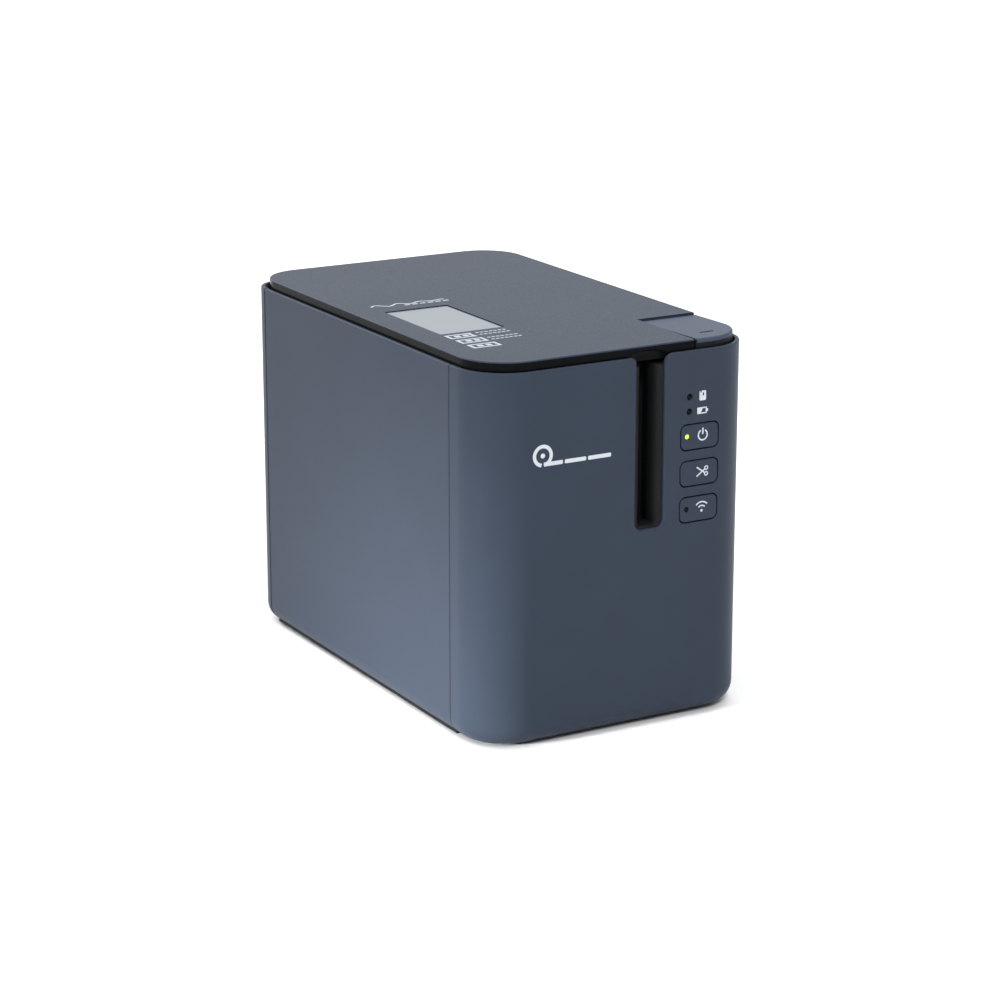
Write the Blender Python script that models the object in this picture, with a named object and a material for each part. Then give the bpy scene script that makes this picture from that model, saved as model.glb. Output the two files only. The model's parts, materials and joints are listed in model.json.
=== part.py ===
"""Desktop label maker: casing, tape cassette, print and feed train, tape cutter, keys and lid.

The sizes in this file are millimetres; each mesh is scaled to metres as it is made.
+X is the right side, +Y the back and +Z up. The origin is the middle of the footprint,
on the surface that the feet stand on.
"""

import math

import bmesh
import bpy

MM = 0.001

# Driving dimensions of the casing.
WIDTH = 118.0
DEPTH = 192.0
HEIGHT = 146.0
WALL = 2.4
GAP = 0.3
FRONT_RADIUS = 19.5
REAR_RADIUS = 13.0
FOOT_FILLET = 7.5
FILLET_FOOT_Z = 0.8
SHELL_LOW_Z = 1.3
RIM_TOP_Z = 142.3
RIM_WALL = 1.6
RIM_STEP_Z = 138.6
SEAM = 0.5
FRONT_SEAM_Y = -71.0
REAR_SEAM_Y = 82.7
PANEL_LOW_Z = 2.3

# The lid lies inside the rim, and the deck carries its hinge.
LID_INSET = 1.9
LID_FRONT_Y = -93.8
LID_REAR_Y = 95.3
LID_FRONT_RADIUS = 18.7
LID_REAR_RADIUS = 17.5
LID_LOW_Z = 140.2
LID_FRAME_TOP_Z = 144.6
LID_WEB = 1.4
LID_BAND = 1.8
HINGE_Y = 92.6
HINGE_Z = 142.0
KNUCKLE_RADIUS = 2.2
HINGE_STATIONS = (-40.0, 40.0)
DECK_LOW_Z = 135.3
DECK_TOP_Z = 138.3
WINDOW = (-45.4, -18.6, -40.4, 3.7)
BUTTON_X = 32.0
BUTTON_REAR_Y = -55.5
BUTTON_GAP = 0.8
BUTTON_DROP = 0.85
BUTTON_PIVOT = (-57.0, 141.5)
LEG_X = (40.0, 44.0)

# The tape leaves through a slot in the front.
TAPE_X = 11.3
SLOT = (5.2, 17.4)
SLOT_LOW_Z = 77.0
SLOT_LIP_Y = -89.0

# Keys and lamps on the front.
KEY_X = 33.0
KEY_SIZE = (16.2, 9.3)
KEY_CORNER = 2.2
KEY_GROOVE = 0.5
KEYS = {"power_key": 109.6, "cut_key": 95.7, "wireless_key": 81.8}
LAMPS = {"cassette_lamp": 125.0, "battery_lamp": 119.4}
LAMP_X = 28.3
BOARD_Y = -88.5

# Cassette and the well that holds it.
CASSETTE = (-53.5, 10.0, -62.0, 20.0)
CASSETTE_LOW_Z = 89.8
CASSETTE_TOP_Z = 137.0
WELL_FLOOR = (86.5, 89.5)
HEAD_NOTCH = (3.6, -43.5)

# Feed train: spur gears of one module turn in one plane under the well.
MODULE = 1.0
GEAR_Z = (77.0, 82.0)
PINION_TEETH = 12
IDLER_TEETH = 30
TAKEUP_TEETH = 24
PLATEN_TEETH = 16
PLATEN = (17.1, -52.0)
PLATEN_RADIUS = 5.5
HOLDER_PIVOT = (27.0, -22.0)
AXLE_RADIUS = 2.0
PLATE_Z = (73.0, 75.0)
MOTOR_RADIUS = 13.0

# Cutter: a swinging blade passes in front of a fixed one, driven through a toothed sector.
BLADE_PIVOT = (12.5, 82.0)
BLADE_Y = (-75.5, -74.3)
SECTOR_TEETH = 28
CUTTER_PINION_TEETH = 10
CUTTER_PINION_ANGLE = -60.0
BLADE_REST_ANGLE = 85.0


def away(start, degrees, distance):
    """The point at this distance and direction from start, in a plane."""
    turn = math.radians(degrees)
    return (start[0] + distance * math.cos(turn), start[1] + distance * math.sin(turn))


def centre_distance(first_teeth, second_teeth):
    return MODULE * (first_teeth + second_teeth) / 2


# The holder swings the platen straight away from the idler, so the teeth part cleanly.
SWING_X = PLATEN[1] - HOLDER_PIVOT[1]
SWING_Y = PLATEN[0] - HOLDER_PIVOT[0]
IDLER_ANGLE = math.degrees(math.atan2(-SWING_Y, SWING_X))
IDLER = away(PLATEN, IDLER_ANGLE, centre_distance(IDLER_TEETH, PLATEN_TEETH))
TAKEUP_ANGLE = 115.0
TAKEUP = away(IDLER, TAKEUP_ANGLE, centre_distance(IDLER_TEETH, TAKEUP_TEETH))
PINION_ANGLE = -75.0
PINION = away(IDLER, PINION_ANGLE, centre_distance(IDLER_TEETH, PINION_TEETH))
CUTTER_PINION = away(BLADE_PIVOT, CUTTER_PINION_ANGLE, centre_distance(SECTOR_TEETH, CUTTER_PINION_TEETH))


# ---- outlines in a plane ----------------------------------------------------------------


def arc(centre, radius, start, end, steps):
    """Points along an arc from start to end, in degrees, both ends included."""
    return [away(centre, start + (end - start) * i / steps, radius) for i in range(steps + 1)]


def circle(centre, radius, steps=24, phase=0.0):
    return arc(centre, radius, phase, phase + 360, steps)[:-1]


def rounded(x0, x1, y0, y1, low_radius, high_radius, steps=6):
    """A rectangle with one radius on its two low-y corners and another on its high-y ones."""
    return (
        arc((x0 + low_radius, y0 + low_radius), low_radius, 180, 270, steps)
        + arc((x1 - low_radius, y0 + low_radius), low_radius, 270, 360, steps)
        + arc((x1 - high_radius, y1 - high_radius), high_radius, 0, 90, steps)
        + arc((x0 + high_radius, y1 - high_radius), high_radius, 90, 180, steps)
    )


def body_outline(inset):
    half_x = WIDTH / 2 - inset
    half_y = DEPTH / 2 - inset
    return rounded(-half_x, half_x, -half_y, half_y, FRONT_RADIUS - inset, REAR_RADIUS - inset, 9)


def lid_outline(inset):
    half_x = WIDTH / 2 - LID_INSET - inset
    return rounded(
        -half_x,
        half_x,
        LID_FRONT_Y + inset,
        LID_REAR_Y - inset,
        LID_FRONT_RADIUS - inset,
        LID_REAR_RADIUS - inset,
        9,
    )


def gear_outline(centre, teeth, phase, backlash=0.16):
    """Four points a tooth: two on the root circle and two on the tip circle."""
    pitch = MODULE * teeth / 2
    step = 360 / teeth
    half_root = step * (0.37 - backlash / 2)
    half_tip = step * (0.2 - backlash / 2)
    points = []
    for i in range(teeth):
        middle = phase + i * step
        for angle, radius in (
            (-half_root, pitch - 1.2 * MODULE),
            (-half_tip, pitch + 0.9 * MODULE),
            (half_tip, pitch + 0.9 * MODULE),
            (half_root, pitch - 1.2 * MODULE),
        ):
            points.append(away(centre, middle + angle, radius))
    return points


def like(outline, centre, radius):
    """A circle with one point at the angle of each point of an outline."""
    angles = [math.atan2(y - centre[1], x - centre[0]) for x, y in outline]
    return [(centre[0] + radius * math.cos(a), centre[1] + radius * math.sin(a)) for a in angles]


# ---- meshes -----------------------------------------------------------------------------


def placed(point, height, axis):
    """A plane point and a height along X, Y or Z as a point in space."""
    first, second = point
    return {"X": (height, first, second), "Y": (first, height, second), "Z": (first, second, height)}[axis]


def loft(mesh, rings, axis="Z", closed=False):
    """Skins a list of (outline, height). The ends are capped, or joined if closed."""
    loops = [[mesh.verts.new(placed(p, height, axis)) for p in outline] for outline, height in rings]
    pairs = list(zip(loops, loops[1:]))
    if closed:
        pairs.append((loops[-1], loops[0]))
    for low, high in pairs:
        for i in range(len(low)):
            j = (i + 1) % len(low)
            mesh.faces.new((low[i], low[j], high[j], high[i]))
    if not closed:
        mesh.faces.new(loops[0])
        mesh.faces.new(loops[-1])
    return mesh


def prism(outline, low, high, axis="Z"):
    return loft(bmesh.new(), [(outline, low), (outline, high)], axis)


def block(x0, x1, y0, y1, z0, z1):
    return prism([(x0, y0), (x1, y0), (x1, y1), (x0, y1)], z0, z1)


def turned(profile, centre, axis="Z", closed=False, steps=24):
    """A turned piece: the profile is a list of (radius, height)."""
    rings = [(circle(centre, radius, steps), height) for radius, height in profile]
    return loft(bmesh.new(), rings, axis, closed)


MATERIALS = {}


def material(name, color, roughness, metallic=0.0):
    made = bpy.data.materials.new(name)
    made.use_nodes = True
    shader = made.node_tree.nodes["Principled BSDF"]
    shader.inputs["Base Color"].default_value = (*color, 1.0)
    shader.inputs["Roughness"].default_value = roughness
    shader.inputs["Metallic"].default_value = metallic
    MATERIALS[name] = made


def make(name, mesh, finish, origin=(0.0, 0.0, 0.0), smooth=30):
    """One sub-part: an object with its origin at the point given, in millimetres."""
    bmesh.ops.recalc_face_normals(mesh, faces=mesh.faces)
    for vertex in mesh.verts:
        vertex.co = [(a - b) * MM for a, b in zip(vertex.co, origin)]
    data = bpy.data.meshes.new(name)
    mesh.to_mesh(data)
    mesh.free()
    data.shade_smooth()
    data.set_sharp_from_angle(angle=math.radians(smooth))
    data.materials.append(MATERIALS[finish])
    made = bpy.data.objects.new(name, data)
    made.location = [a * MM for a in origin]
    bpy.context.scene.collection.objects.link(made)
    return made


def helper(mesh, name="helper"):
    """A shape that only cuts or joins another one."""
    made = make(name, mesh, "moulded_black")
    made.hide_render = True
    made.display_type = "WIRE"
    return made


def combine(target, operation, *meshes):
    for mesh in meshes:
        tool = mesh if isinstance(mesh, bpy.types.Object) else helper(mesh, f"{target.name}_tool")
        modifier = target.modifiers.new(operation.lower(), "BOOLEAN")
        modifier.operation = operation
        modifier.object = tool
    return target


def cut(target, *meshes):
    return combine(target, "DIFFERENCE", *meshes)


def join(target, *meshes):
    return combine(target, "UNION", *meshes)


# ---- casing -----------------------------------------------------------------------------


def fillet_rings(inset, top_rings):
    """Outlines that follow the rounded foot of the casing, offset inwards, then the rings above."""
    radius = FOOT_FILLET - inset
    centre_z = FILLET_FOOT_Z + FOOT_FILLET
    rings = []
    for step in range(7):
        turn = math.radians(90 - 15 * step)
        rings.append((body_outline(FOOT_FILLET - radius * math.cos(turn)), centre_z - radius * math.sin(turn)))
    return rings + top_rings


def shell(name, region):
    """The part of the hollow casing that lies in a region."""
    top_fillet = 0.4
    outer = fillet_rings(
        0.0,
        [(body_outline(0.0), RIM_TOP_Z - top_fillet), (body_outline(top_fillet), RIM_TOP_Z)],
    )
    under = (body_outline(FOOT_FILLET), -1.0)
    inner = fillet_rings(
        WALL,
        [
            (body_outline(WALL), RIM_STEP_Z),
            (body_outline(RIM_WALL), RIM_STEP_Z),
            (body_outline(RIM_WALL), HEIGHT + 5),
        ],
    )
    made = make(name, loft(bmesh.new(), outer), "moulded_slate")
    combine(made, "INTERSECT", region)
    return cut(made, loft(bmesh.new(), [under] + inner))


def slot_outline():
    """The tape slot from the front: round at the bottom, flared where it meets the rim."""
    left, right = SLOT
    corner = 3.0
    flare_left = 2.0
    flare_right = 3.8
    top = HEIGHT + 4
    return (
        arc((left + corner, SLOT_LOW_Z + corner), corner, 180, 270, 5)
        + arc((right - corner, SLOT_LOW_Z + corner), corner, 270, 360, 5)
        + arc((right + flare_right, RIM_TOP_Z - flare_right), flare_right, 180, 90, 5)
        + [(right + flare_right, top), (left - flare_left, top)]
        + arc((left - flare_left, RIM_TOP_Z - flare_left), flare_left, 90, 0, 4)
    )


def key_outline(z, grow):
    half_x = KEY_SIZE[0] / 2 + grow
    half_z = KEY_SIZE[1] / 2 + grow
    corner = KEY_CORNER + grow
    return rounded(KEY_X - half_x, KEY_X + half_x, z - half_z, z + half_z, corner, corner, 3)


def front_cover():
    far = WIDTH
    region = block(-far, far, -far, FRONT_SEAM_Y - SEAM / 2, SHELL_LOW_Z, HEIGHT)
    cover = shell("front_cover", region)
    lip = 2.4
    join(cover, block(SLOT[0] - lip, SLOT[1] + lip, -DEPTH / 2 + 1, SLOT_LIP_Y, SLOT_LOW_Z - lip, RIM_STEP_Z))
    cut(cover, prism(slot_outline(), -DEPTH, SLOT_LIP_Y + 3, "Y"))
    for z in KEYS.values():
        cut(cover, prism(key_outline(z, KEY_GROOVE), -DEPTH, -90, "Y"))
    for z in LAMPS.values():
        cut(cover, prism(circle((LAMP_X, z), 1.4, 12), -DEPTH, -90, "Y"))


def side_panels():
    far = WIDTH
    for name, x0, x1 in (("left_side_panel", -far, 0), ("right_side_panel", 0, far)):
        region = block(x0, x1, FRONT_SEAM_Y + SEAM / 2, REAR_SEAM_Y - SEAM / 2, PANEL_LOW_Z, HEIGHT)
        shell(name, region)


# Sockets along the rear: width, height, cavity width, cavity height, and the middle in x.
SOCKET_LOW_Z = 14.2
SOCKET_Y = (79.0, 95.4)
SOCKETS = {
    "network_socket": (16.0, 13.5, 11.8, 8.4, -41.0),
    "usb_host_socket": (14.4, 7.2, 12.6, 5.2, -23.5),
    "usb_socket": (12.0, 11.0, 8.6, 7.8, -8.0),
    "serial_socket": (30.8, 12.5, 18.6, 8.4, 16.0),
    "power_jack": (11.0, 11.0, 7.4, 7.4, 41.0),
}
VENT_ROWS = 5


def rear_cover():
    far = WIDTH
    region = block(-far, far, REAR_SEAM_Y + SEAM / 2, far, SHELL_LOW_Z, HEIGHT)
    cover = shell("rear_cover", region)
    hinge_notch = 52.0
    cut(cover, block(-hinge_notch, hinge_notch, REAR_SEAM_Y - 2, far, DECK_TOP_Z, HEIGHT + 4))
    for width, height, _, _, x in SOCKETS.values():
        half = width / 2 + GAP
        cut(cover, block(x - half, x + half, 90, far, SOCKET_LOW_Z - GAP, SOCKET_LOW_Z + height + GAP))
    for row in range(VENT_ROWS):
        z = 92.0 + 7.0 * row
        for side in (-1, 1):
            ends = sorted((side * 6.0, side * 34.0))
            cut(cover, block(ends[0], ends[1], 90, far, z, z + 2.0))


# Under the tray: feet, screws and the half width, front and back of the dock connector.
FOOT_RADIUS = 6.5
FOOT_PLACES = [(x, y) for x in (-42.0, 42.0) for y in (-68.0, 78.0)]
SCREW_PLACES = [(x, y) for x in (-45.0, 45.0) for y in (-48.0, 58.0)]
DOCK = (15.0, -6.0, 3.0)


def base_tray():
    edge = 3.1
    side_y = (FRONT_SEAM_Y + SEAM, REAR_SEAM_Y - SEAM)
    tray = make("base_tray", prism(body_outline(FOOT_FILLET + GAP), 1.5, 3.4), "moulded_black")
    join(tray, block(-WIDTH / 2 + edge, WIDTH / 2 - edge, side_y[0], side_y[1], 0.9, PANEL_LOW_Z - GAP))
    for x, y in SCREW_PLACES:
        join(tray, turned([(3.6, 3.0), (3.6, 11.0)], (x, y), steps=12))
        cut(tray, turned([(3.6, 0.0), (3.6, 2.4), (1.7, 2.4), (1.7, 9.6)], (x, y), steps=12))
    for x, y in FOOT_PLACES:
        cut(tray, turned([(FOOT_RADIUS + GAP, 0.0), (FOOT_RADIUS + GAP, 2.3)], (x, y)))
    cut(tray, block(-DOCK[0] - GAP, DOCK[0] + GAP, DOCK[1] - GAP, DOCK[2] + GAP, 0.0, 5.0))


def feet_and_screws():
    for number, (x, y) in enumerate(FOOT_PLACES, 1):
        profile = [(FOOT_RADIUS - 0.5, 0.0), (FOOT_RADIUS, 0.5), (FOOT_RADIUS, 2.0)]
        make(f"foot_{number}", turned(profile, (x, y)), "rubber", (x, y, 0))
    for number, (x, y) in enumerate(SCREW_PLACES, 1):
        profile = [(2.4, 1.1), (2.9, 1.5), (2.9, 2.1), (1.4, 2.1), (1.4, 8.8), (0.8, 9.2)]
        screw = make(f"base_screw_{number}", turned(profile, (x, y), steps=12), "zinc_steel", (x, y, 2))
        cut(screw, block(x - 2, x + 2, y - 0.35, y + 0.35, 0, 1.7), block(x - 0.35, x + 0.35, y - 2, y + 2, 0, 1.7))


def dock_connector():
    half_x, y0, y1 = DOCK
    connector = make("dock_connector", block(-half_x, half_x, y0, y1, 1.4, 9.0), "moulded_black")
    for number in range(8):
        x = (number - 3.5) * 3.2
        cut(connector, block(x - 0.8, x + 0.8, y0 + 1.5, y1 - 1.5, 0, 3.0))


def rear_sockets():
    finishes = {"network_socket": "nickel_shield", "usb_host_socket": "nickel_shield", "usb_socket": "nickel_shield"}
    for name, (width, height, hole_x, hole_z, x) in SOCKETS.items():
        body = block(x - width / 2, x + width / 2, *SOCKET_Y, SOCKET_LOW_Z, SOCKET_LOW_Z + height)
        z = SOCKET_LOW_Z + height / 2
        socket = make(name, body, finishes.get(name, "moulded_black"), (x, SOCKET_Y[1], z))
        if name == "power_jack":
            cut(socket, prism(circle((x, z), hole_x / 2, 20), SOCKET_Y[1] - 10, SOCKET_Y[1] + 4, "Y"))
            continue
        half_x = hole_x / 2
        half_z = hole_z / 2
        cut(socket, block(x - half_x, x + half_x, SOCKET_Y[1] - 10, SOCKET_Y[1] + 4, z - half_z, z + half_z))


# ---- deck, well and boards --------------------------------------------------------------

LID_SWITCH = (-35.0, -80.0)

def hinge_ear_outline():
    y0 = HINGE_Y - KNUCKLE_RADIUS
    y1 = HINGE_Y + KNUCKLE_RADIUS
    step_y = DEPTH / 2 - WALL - 1.4 * GAP
    low = DECK_LOW_Z + 1.5
    ledge = DECK_TOP_Z + GAP
    top = arc((HINGE_Y, HINGE_Z), KNUCKLE_RADIUS, 0, 180, 8)
    return [(y0, low), (step_y, low), (step_y, ledge), (y1, ledge)] + top


def inner_deck():
    deck = make("inner_deck", prism(body_outline(WALL + GAP), DECK_LOW_Z, DECK_TOP_Z), "moulded_black")
    bay = (CASSETTE[0] - 0.7, CASSETTE[1] + 2.4, CASSETTE[2] - 2.3, CASSETTE[3] + 2.2)
    z = (DECK_LOW_Z - 2, DECK_TOP_Z + 2)
    cut(
        deck,
        block(*bay, *z),
        block(bay[1] - 2, 30.5, bay[2], -38.0, *z),
        block(SLOT[0] - 2.5, SLOT[1] + 2.5, -DEPTH / 2, -78.7, *z),
        block(24.8, 31.5, -91.2, -84.3, *z),
        block(LEG_X[0] - 1, LEG_X[1] + 1, -91.2, -84.3, *z),
        turned([(2.3, z[0]), (2.3, z[1])], HOLDER_PIVOT),
        turned([(1.6, z[0]), (1.6, z[1])], LID_SWITCH, steps=12),
    )
    for station in HINGE_STATIONS:
        for x in (station - 5.3, station + 2.3):
            join(deck, prism(hinge_ear_outline(), x, x + 3.0, "X"))
        cut(deck, prism(circle((HINGE_Y, HINGE_Z), 1.2, 12), station - 7, station + 7, "X"))


def hinge_pins():
    for name, station in zip(("hinge_pin_left", "hinge_pin_right"), HINGE_STATIONS):
        profile = [(0.9, station - 5.2), (0.9, station + 5.2)]
        make(name, turned(profile, (HINGE_Y, HINGE_Z), "X", steps=12), "zinc_steel", (station, HINGE_Y, HINGE_Z))


def cassette_well():
    x0, x1, y0, y1 = CASSETTE
    wall = 1.5
    room = 0.7
    well = make(
        "cassette_well",
        block(x0 - room - wall, x1 + 2.1, y0 - 1 - wall, y1 + room + wall, WELL_FLOOR[0], DECK_LOW_Z - GAP),
        "moulded_black",
    )
    top = DECK_LOW_Z + 5
    cut(
        well,
        block(x0 - room, x1 + 0.6, y0 - 1, y1 + room, WELL_FLOOR[1], top),
        block(HEAD_NOTCH[0] + 0.4, x1 + 9, y0 - 9, -38.0, WELL_FLOOR[1], top),
        turned([(4.4, 80.0), (4.4, 95.0)], TAKEUP),
    )
    join(well, block(x1, HOLDER_PIVOT[0] + 5, -33.0, -15.0, *WELL_FLOOR))
    cut(well, turned([(2.3, 80.0), (2.3, 95.0)], HOLDER_PIVOT))


def boards():
    board = make("main_board", block(-49, 49, -12, 88, 12.0, 13.6), "circuit_board")
    for x, y in SCREW_PLACES:
        cut(board, turned([(4.2, 10.0), (4.2, 16.0)], (x, y), steps=16))
    make("panel_board", block(22.0, 46.0, BOARD_Y, BOARD_Y + 1.4, 72.0, 129.5), "circuit_board")
    make("wireless_module", block(22, 44, 20, 36, 13.9, 16.6), "nickel_shield")
    for key, z in KEYS.items():
        name = key.replace("key", "tact_switch")
        body = [(circle((KEY_X, z), 1.7, 12), height) for height in (-91.1, -90.3)]
        case = [(like(body[0][0], (KEY_X, z), 3.0), height) for height in (-90.3, BOARD_Y - GAP)]
        make(name, loft(bmesh.new(), body + case, "Y"), "moulded_black", (KEY_X, BOARD_Y, z))
    for name, z in LAMPS.items():
        lens = turned([(0.8, -95.85), (1.1, -95.5), (1.1, BOARD_Y - GAP)], (LAMP_X, z), "Y", steps=12)
        make(name, lens, "clear_lens", (LAMP_X, -95, z))


def lid_switch():
    x, y = LID_SWITCH
    switch = make("lid_switch", block(x - 6, x + 6, y - 3, y + 3, 127.0, DECK_LOW_Z - GAP), "moulded_black")
    join(switch, turned([(1.2, 133.0), (1.2, 139.3), (0.8, 139.7)], (x, y), steps=12))


# ---- lid and release button -------------------------------------------------------------


def corner_block(grow, z0, z1):
    """The corner of the lid that the release button fills, with the edges moved in by grow."""
    return block(BUTTON_X - grow, WIDTH, -DEPTH, BUTTON_REAR_Y + grow, z0, z1)


def lid():
    hinge = (0, HINGE_Y, HINGE_Z)
    frame = make("lid_frame", prism(lid_outline(0), LID_LOW_Z, LID_FRAME_TOP_Z), "gloss_black", hinge)
    web_z = LID_FRAME_TOP_Z - LID_WEB
    hollow = helper(prism(lid_outline(LID_BAND), LID_LOW_Z - 2, web_z), "lid_hollow")
    cut(hollow, corner_block(BUTTON_GAP + LID_BAND, LID_LOW_Z - 5, HEIGHT))
    cut(frame, hollow, corner_block(BUTTON_GAP, LID_LOW_Z - 5, HEIGHT + 5))
    x0, x1, y0, y1 = WINDOW
    rest = 1.5
    cut(frame, block(x0 + rest, x1 - rest, y0 + rest, y1 - rest, web_z - 2, HEIGHT + 5))
    for station in HINGE_STATIONS:
        cut(frame, block(station - 5.8, station + 5.8, HINGE_Y - 2.8, DEPTH, LID_LOW_Z - 2, HEIGHT + 5))
        join(frame, block(station - 2, station + 2, HINGE_Y - 5.2, HINGE_Y, LID_LOW_Z + 0.2, LID_FRAME_TOP_Z - 0.4))
        profile = [(KNUCKLE_RADIUS, station - 2), (KNUCKLE_RADIUS, station + 2)]
        join(frame, turned(profile, (HINGE_Y, HINGE_Z), "X"))
        cut(frame, turned([(1.2, station - 4), (1.2, station + 4)], (HINGE_Y, HINGE_Z), "X", steps=12))
    join(frame, block(25.5, 29.2, -90.0, -85.5, 131.5, web_z + 0.5), block(28.7, 30.6, -90.0, -85.5, 131.5, 134.0))
    plate = make("lid_top_plate", prism(lid_outline(0), LID_FRAME_TOP_Z + GAP, HEIGHT), "moulded_slate", hinge)
    cut(plate, corner_block(BUTTON_GAP, LID_LOW_Z, HEIGHT + 5))
    cut(plate, block(x0 - GAP, x1 + GAP, y0 - GAP, y1 + GAP, LID_LOW_Z, HEIGHT + 5))
    make("lid_window", block(x0, x1, y0, y1, LID_FRAME_TOP_Z + GAP, HEIGHT - 0.4), "window_plastic", hinge)


def release_button():
    pivot = (BUTTON_X, *BUTTON_PIVOT)
    low = LID_LOW_Z + 0.3
    button = make("release_button", prism(lid_outline(0), low, HEIGHT), "moulded_slate", pivot)
    combine(button, "INTERSECT", corner_block(0, low - 5, HEIGHT + 5))
    far_y = BUTTON_REAR_Y + 10
    slope = BUTTON_DROP / (BUTTON_REAR_Y - LID_FRONT_Y)
    top = [(LID_FRONT_Y, HEIGHT), (far_y, HEIGHT - slope * (far_y - LID_FRONT_Y)), (far_y, 160), (LID_FRONT_Y, 160)]
    cut(button, prism(top, 0, WIDTH, "X"))
    hollow = helper(prism(lid_outline(2.0), low - 5, HEIGHT - 3), "button_hollow")
    combine(hollow, "INTERSECT", block(BUTTON_X + 2, WIDTH, -DEPTH, BUTTON_REAR_Y - 2, 0, HEIGHT + 5))
    cut(button, hollow)
    join(button, block(*LEG_X, -90.2, -85.3, 133.4, HEIGHT - 2))


def latch_slide():
    slide = make("latch_slide", block(26.0, 48.0, -84.0, -81.0, 131.0, 134.6), "acetal_white", (34, -82, 132))
    join(slide, block(31.5, 34.0, -89.0, -83.0, 131.3, 134.3))
    ramp = [(38.0, 127.5), (46.0, 127.5), (46.0, 131.6), (44.0, 131.6), (38.0, 128.8)]
    join(slide, prism(ramp, -86.6, -82.6, "Y"))


# ---- keys -------------------------------------------------------------------------------


def keys():
    """Each key has a flange behind the cover that keeps it from falling out."""
    front = -DEPTH / 2
    back = front + WALL + 0.4
    for name, z in KEYS.items():
        cap = key_outline(z, 0)
        flange = key_outline(z, 1.3)
        soft = key_outline(z, -0.25)
        rings = [(soft, front), (cap, front + 0.25), (cap, back), (flange, back), (flange, back + 1.2)]
        make(name, loft(bmesh.new(), rings, "Y"), "moulded_slate", (KEY_X, front, z))


# ---- cassette ---------------------------------------------------------------------------


TAPE_ROLL = (-32.0, -1.0)
TAPE_ROLL_RADIUS = 18.6
RIBBON_SUPPLY = (-36.0, -42.0)


def cassette():
    x0, x1, y0, y1 = CASSETTE
    wall = 1.5
    notch = block(HEAD_NOTCH[0], x1 + 5, y0 - 5, HEAD_NOTCH[1], 80, 150)
    cover_z = CASSETTE_TOP_Z - 1.8
    case = make(
        "cassette_case",
        prism(rounded(x0, x1, y0, y1, 4, 8, 4), CASSETTE_LOW_Z, cover_z - GAP),
        "cassette_grey",
    )
    hollow = helper(
        prism(rounded(x0 + wall, x1 - wall, y0 + wall, y1 - wall, 3, 7, 4), CASSETTE_LOW_Z + wall, 150),
        "cassette_hollow",
    )
    cut(hollow, block(HEAD_NOTCH[0] - wall, x1 + 5, y0 - 5, HEAD_NOTCH[1] + wall, 80, 155))
    cut(case, hollow, notch)
    cut(case, turned([(4.2, 80.0), (4.2, 95.0)], TAKEUP))
    cover = make(
        "cassette_cover",
        prism(rounded(x0, x1, y0, y1, 4, 8, 4), cover_z, CASSETTE_TOP_Z),
        "cassette_grey",
    )
    cut(cover, block(HEAD_NOTCH[0], x1 + 5, y0 - 5, HEAD_NOTCH[1], 80, 150))
    cut(cover, turned([(4.2, 130.0), (4.2, 140.0)], TAKEUP))
    low = CASSETTE_LOW_Z + wall + GAP + 0.5
    high = cover_z - 2 * GAP
    roll = [(6.0, low), (TAPE_ROLL_RADIUS, low), (TAPE_ROLL_RADIUS, high), (6.0, high)]
    make("tape_roll", turned(roll, TAPE_ROLL, closed=True, steps=32), "label_tape", (*TAPE_ROLL, low))
    spool = [(4.0, low), (11.0, low), (11.0, high), (4.0, high)]
    make("ribbon_spool", turned(spool, RIBBON_SUPPLY, closed=True), "ink_ribbon", (*RIBBON_SUPPLY, low))


# ---- print head, feed train and cutter --------------------------------------------------


def print_head():
    z = (WELL_FLOOR[1] + GAP, 133.0)
    make("print_head", block(7.8, TAPE_X - 0.5, -58.5, -45.5, *z), "head_ceramic")
    fins = []
    for fin in range(5):
        y = -58.5 + 2.8 * fin
        fins += [(4.4, y), (4.4, y + 1.3), (6.0, y + 1.3), (6.0, y + 2.8)]
    outline = [(7.5, -58.5)] + fins[:-1] + [(7.5, -58.5 + 2.8 * 4 + 1.3)]
    make("head_heat_sink", prism(outline, *z), "bare_aluminium")


def gear_plate():
    plate = make("gear_plate", prism(rounded(-40, 13.3, -70.8, -2, 4, 4, 4), *PLATE_Z), "zinc_steel")
    cut(plate, turned([(4.0, 70.0), (4.0, 78.0)], PINION))
    for place, top in ((IDLER, 84.0), (TAKEUP, 88.0)):
        pin = [(3.6, 74.0), (3.6, 76.6), (AXLE_RADIUS, 76.6), (AXLE_RADIUS, top)]
        join(plate, turned(pin, place, steps=16))


def mesh_phase(teeth, direction, phase_from, other_teeth):
    """The phase that puts a gap of this gear where the other gear's tooth points at it."""
    turned_by = (direction - phase_from) * other_teeth / teeth
    return direction + 180 + turned_by + 180 / teeth


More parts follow.
